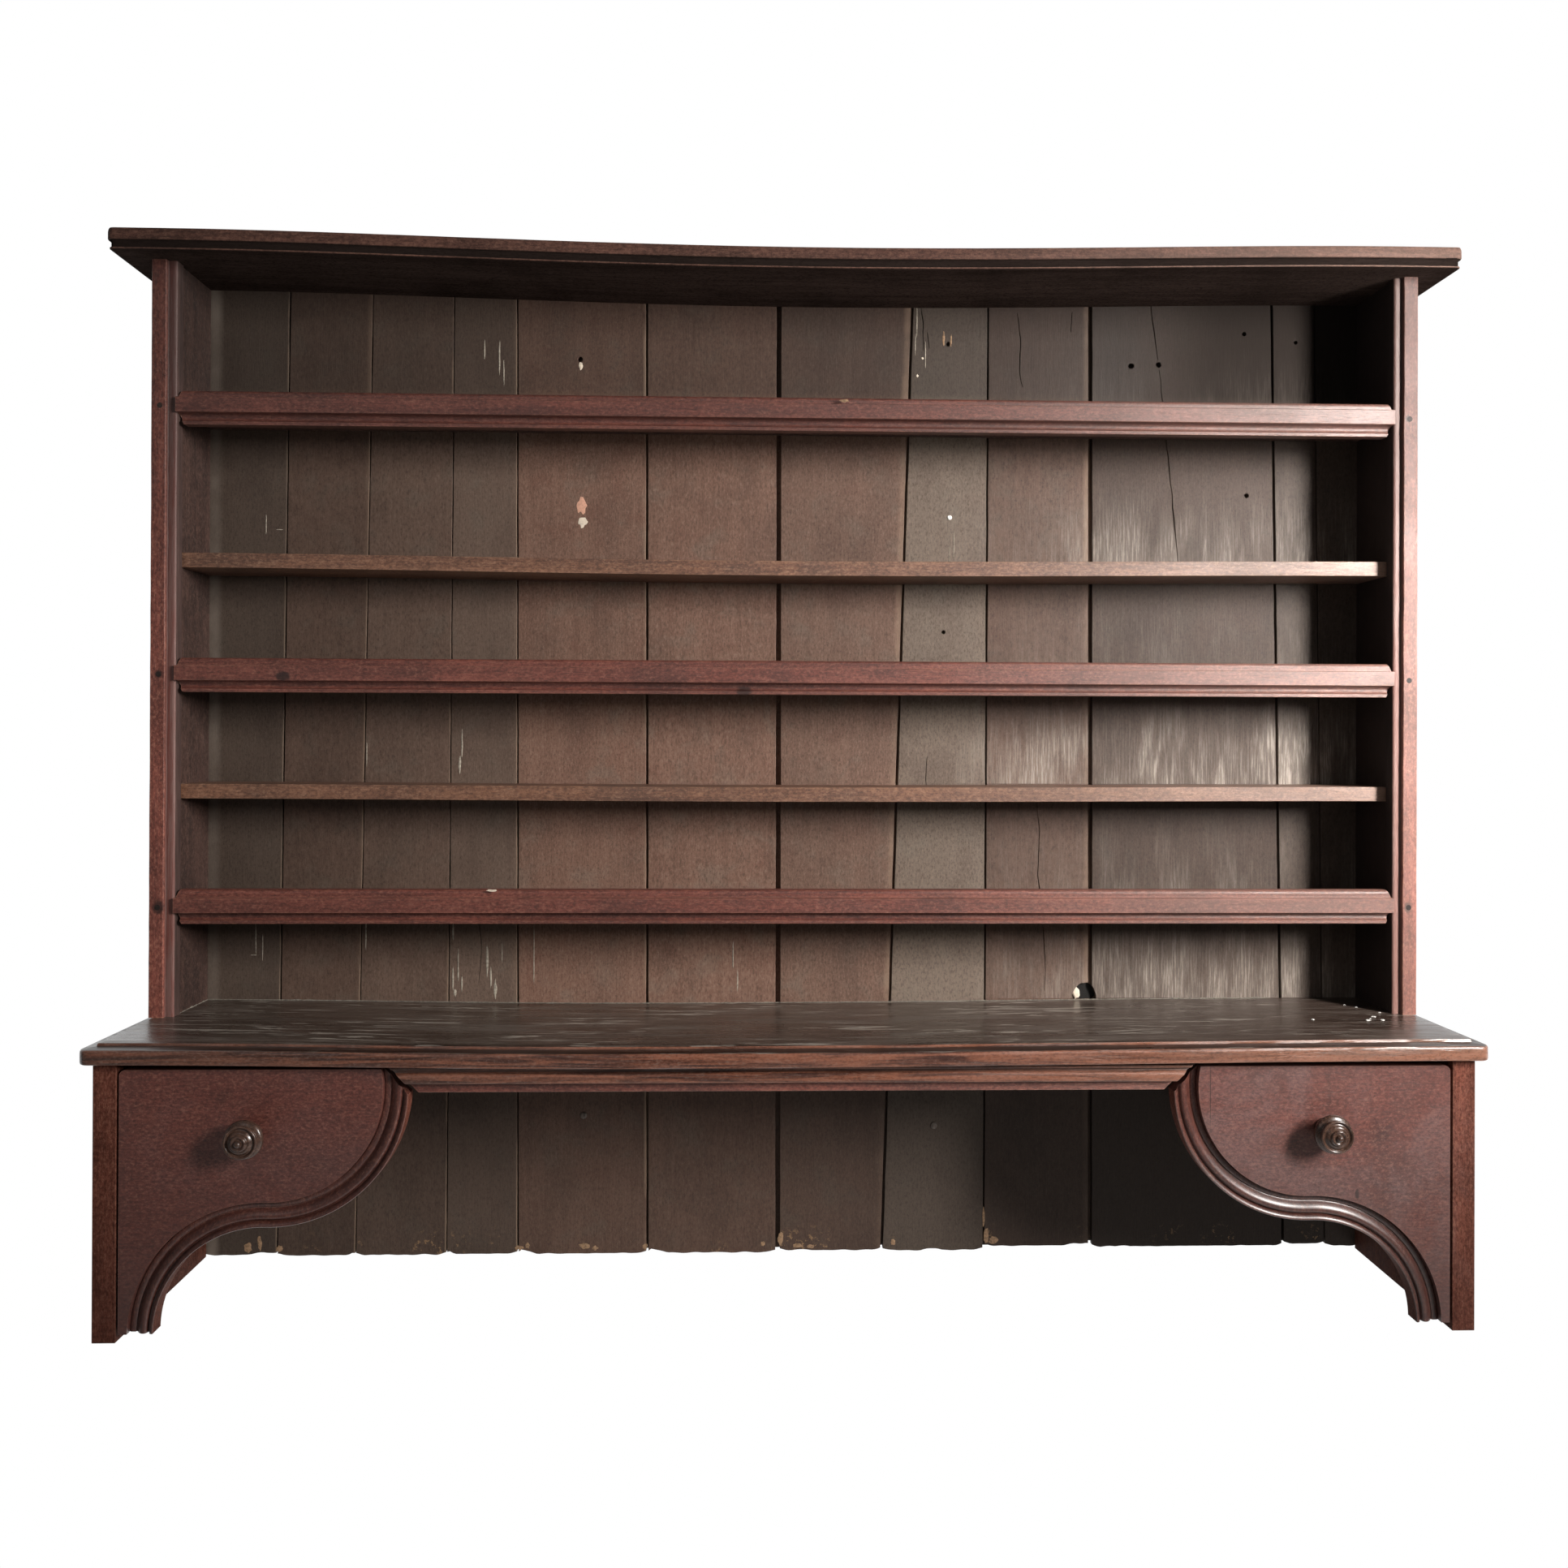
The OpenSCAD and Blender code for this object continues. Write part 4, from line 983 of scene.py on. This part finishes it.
BOARD_CHIPS = {
    "pink_plaster": [(-284, 670, 7, 11)],
    "plaster": [(-283, 648, 6, 7), (-286, 860, 2.6, 5), (180, 876, 1.5, 1.6), (173, 852, 1.5, 2)],
    "bare_chip": [
        (-276, -335, 7, 4), (-262, -338, 4, 3), (-364, -337, 6, 3), (-353, -334, 3, 4), (-194, -337, 4, 4),
        (-34, -334, 3, 3), (-10, -327, 4, 9), (14, -337, 6, 2.5), (31, -338, 5, 2.5), (144, -333, 3, 4),
        (272, -325, 3, 12), (281, -331, 6, 5), (268, -300, 1.6, 14), (-728, -334, 5, 6), (-712, -328, 3, 9),
        (-686, -336, 5, 4), (209, 903, 1.8, 10), (219, 901, 1.2, 8)
    ],
    "paint": [
        (-455, 30, 1.1, 16), (-448, 44, 0.8, 24), (-443, 22, 1, 10), (-409, 52, 1.6, 20), (-404, 30, 1.2, 14),
        (-398, 14, 2.2, 12), (-452, 9, 2, 5), (-389, 62, 0.6, 12), (-572, 330, 0.8, 16), (-572, 90, 0.9, 22),
        (-447, 318, 1.8, 12), (-444, 345, 0.8, 18), (-455, 92, 1.2, 12), (-346, 60, 0.6, 40),
        (-76, 60, 0.7, 22), (-70, 25, 0.7, 14), (-416, 880, 0.8, 14), (-396, 870, 1, 20),
        (-390, 850, 0.8, 16), (172, 925, 0.7, 20), (184, 880, 0.7, 18), (170, 895, 0.5, 14),
        (224, 622, 0.5, 20), (218, 610, 0.5, 12), (-719, 80, 0.7, 22), (-722, 60, 4, 0.6),
        (-710, 70, 0.6, 16), (-708, 640, 0.7, 12), (-690, 634, 5, 0.6)
    ],
}
# Each crumb is (x, y, half size)
CRUMB_SPOTS = [(663, -142, 2.2), (731, -147, 3), (748, -129, 2.6), (750, -147, 2.8), (753, -76, 1.6),
               (744, -62, 1.8), (768, -107, 1.6), (738, -140, 1.2)]
# Each screw is (name, x, z, radius, rise, look)
SCREWS = [("left", -278, -158, 4.6, 1.8, "iron"), ("right", 199, -174, 4.6, 1.8, "iron"),
          ("white", 218, 658, 3.2, 1.4, "white_screw")]


def make_screw(name, x, z, radius, rise, look):
    """A domed screw head with a slot, in a back board."""
    rings = []
    for share, out in ((1.0, -3), (1.0, 0.2), (0.97, 0.5), (0.85, 0.8), (0.6, 0.95), (0.3, 1.0)):
        rings.append([])
        for t in turn(32):
            px, pz = radius * share * math.cos(t), radius * share * math.sin(t)
            slot = 0.5 if out > 0.6 and abs(px * 0.9 + pz * 0.4) < 0.5 else 0
            rings[-1].append(((x + px) * MM, BOARD_FACE - (out * rise - slot) * MM, (z + pz) * MM))
    make_piece("screw_" + name, loft(rings), look, sharp=45)


def dust_section(deep, tall):
    """Section of the dust in a corner, as (out from the wall, up)."""
    hidden = -0.3 * MM
    return [(hidden, hidden), (deep, -0.2 * MM), (0.4 * deep, 0.5 * tall), (hidden, tall)]


def make_dust():
    """Dust along the worktop's joints with the back boards and the left side."""
    length, steps = INNER_HALF + 0.66, 159
    rings = []
    for i in range(steps + 1):
        x = MM - INNER_HALF + length * i / steps
        tall = (0.7 + 1.3 * abs(noise_at(x * 55, 3, 1))) * MM
        deep = (1.2 + 2.4 * abs(noise_at(x * 35, 8, 1))) * MM
        z = sag(x, *WORKTOP_SAG)
        rings.append([(x, BOARD_FACE - out, z + up) for out, up in dust_section(deep, tall)])
    make_piece("dust_back", loft(rings), "dust", sharp=60)

    length, steps = low("side_board_left").y - BOARD_FACE, 59
    z = sag(-INNER_HALF, *WORKTOP_SAG)
    rings = []
    for i in range(steps + 1):
        y = BOARD_FACE + length * i / steps
        wide = (0.6 + 2.2 * abs(noise_at(y * 90, 3, 7))) * MM
        rings.append([(out - INNER_HALF, y, z + up) for out, up in dust_section(wide, wide)])
    make_piece("dust_left", loft(rings), "dust", sharp=60)


def make_marks():
    for look, spots in BOARD_CHIPS.items():
        wall_flakes("board_" + look, look, BOARD_FACE, spots)
    hole_x, hole_z, half, tall = MOUSE_HOLE
    # A near-black plate of painted shade at the back of the mouse hole
    wall_flakes("mouse_hole_dark", "hole_shade", BOARD_MIDDLE - 0.2 * MM,
                [(hole_x, hole_z + 9, half, tall * 0.62)], 0.3)
    wall_flakes("mouse_hole_chip", "plaster", BOARD_FACE + 3 * MM, [(395, 7, 5, 8)], 2)
    wall_flakes("rail_chip", "bare_chip", low("rail_high").y, [(65, 787, 6, 1.8)], 0.4)
    wall_flakes("rail_paint", "plaster", low("rail_low").y + 3 * MM, [(-381, 160, 6, 1.5)], 0.5)
    for screw in SCREWS:
        make_screw(*screw)
    make_dust()
    shape = ([], [])
    for i, (x, y, size) in enumerate(CRUMB_SPOTS):
        spot = Vector((x * MM, y * MM, sag(x * MM, *WORKTOP_SAG)))
        add_flake(shape, spot, Vector((0, 1, 0)), size * MM, size * MM * 0.8, 0.9 * MM, i)
    make_piece("worktop_crumbs", shape, "white_screw", sharp=30)


# Camera and light

def place_camera():
    """The camera solved from the photograph. Its lens and shift are for a square frame."""
    yaw, pitch, roll = 0.0262, 0.0022, 0.0038
    eye = (-0.04993, -1.62138, 0.35514)
    turned = (Matrix.Rotation(-yaw, 4, "Z") @ Matrix.Rotation(math.pi / 2 + pitch, 4, "X")
              @ Matrix.Rotation(roll, 4, "Z"))
    data = bpy.data.cameras.new("camera")
    data.sensor_fit = "HORIZONTAL"
    data.sensor_width = 36
    data.lens = 27.02
    data.shift_y = -0.0309
    camera = add_object("camera", data)
    camera.matrix_world = Matrix.Translation(eye) @ turned
    bpy.context.scene.camera = camera


def soft_box(name, place, aim, width, height, watts, colour=(1, 1, 1), spread=180):
    data = bpy.data.lights.new(name, "AREA")
    data.spread = math.radians(spread)
    data.shape = "RECTANGLE"
    data.size, data.size_y = width, height
    data.energy = watts
    data.color = colour
    lamp = add_object(name, data)
    lamp.location = place
    lamp.rotation_euler = (Vector(aim) - Vector(place)).to_track_quat("-Z", "Y").to_euler()


def light_scene():
    daylight = (1, 0.96, 0.92)
    soft_box("window", (2.1, -1.9, 1.08), (0.3, 0, 0.3), 0.36, 1.0, 108, daylight)
    soft_box("near", (1.45, -0.98, 0.72), (0.6, -0.1, 0.56), 0.25, 0.6, 3.6, daylight, 70)
    soft_box("room", (-1.2, -2.6, 1.2), (0, 0, 0.2), 1.6, 1.6, 3.5)
    world = bpy.data.worlds.new("studio")
    bpy.context.scene.world = world
    world.use_nodes = True
    sky = Nodes(world.node_tree)
    place = sky.node("TexCoord").outputs["Generated"]
    white = sky.add("Background", {0: (1, 1, 1), 1: 1.0})
    dim = sky.add("Background", {0: (1, 0.98, 0.95), 1: 0.1})
    sky.node("OutputWorld", {0: sky.shown_white(place, -0.1, 0.2, white, dim)})


def place_floor():
    """A pale floor, as far below as where such a rack hangs."""
    drop, reach = 0.95, 2.2
    corners = [(-1, -1), (1, -1), (1, 1), (-1, 1)]
    mesh = bpy.data.meshes.new("floor")
    mesh.from_pydata([(reach * x, reach * y, FOOT - drop) for x, y in corners], [], [(0, 1, 2, 3)])
    floor = add_object("floor", mesh)
    look = Look("floor_paint")
    cloud = look.noise(look.place, 2)
    colour = look.mix(cloud, (0.86, 0.86, 0.86), (0.9, 0.9, 0.9))
    paint = look.shader(colour, 0.9, cloud, 0.1)
    white = look.add("Emission", {0: (1, 1, 1), 1: 1.0})
    look.finish(look.shown_white(look.place, -0.5, -0.2, white, paint))
    mesh.materials.append(look.material)


bpy.context.scene.view_settings.view_transform = "Standard"
dress_nodes()
make_case_boards()
make_rails()
make_apron()
for side, sign in (("left", -1), ("right", 1)):
    make_stile(side, sign)
    make_scroll(side, sign)
    make_knob(side)
for number in range(1, 13):
    make_board(number)
make_marks()
place_camera()
light_scene()
place_floor()
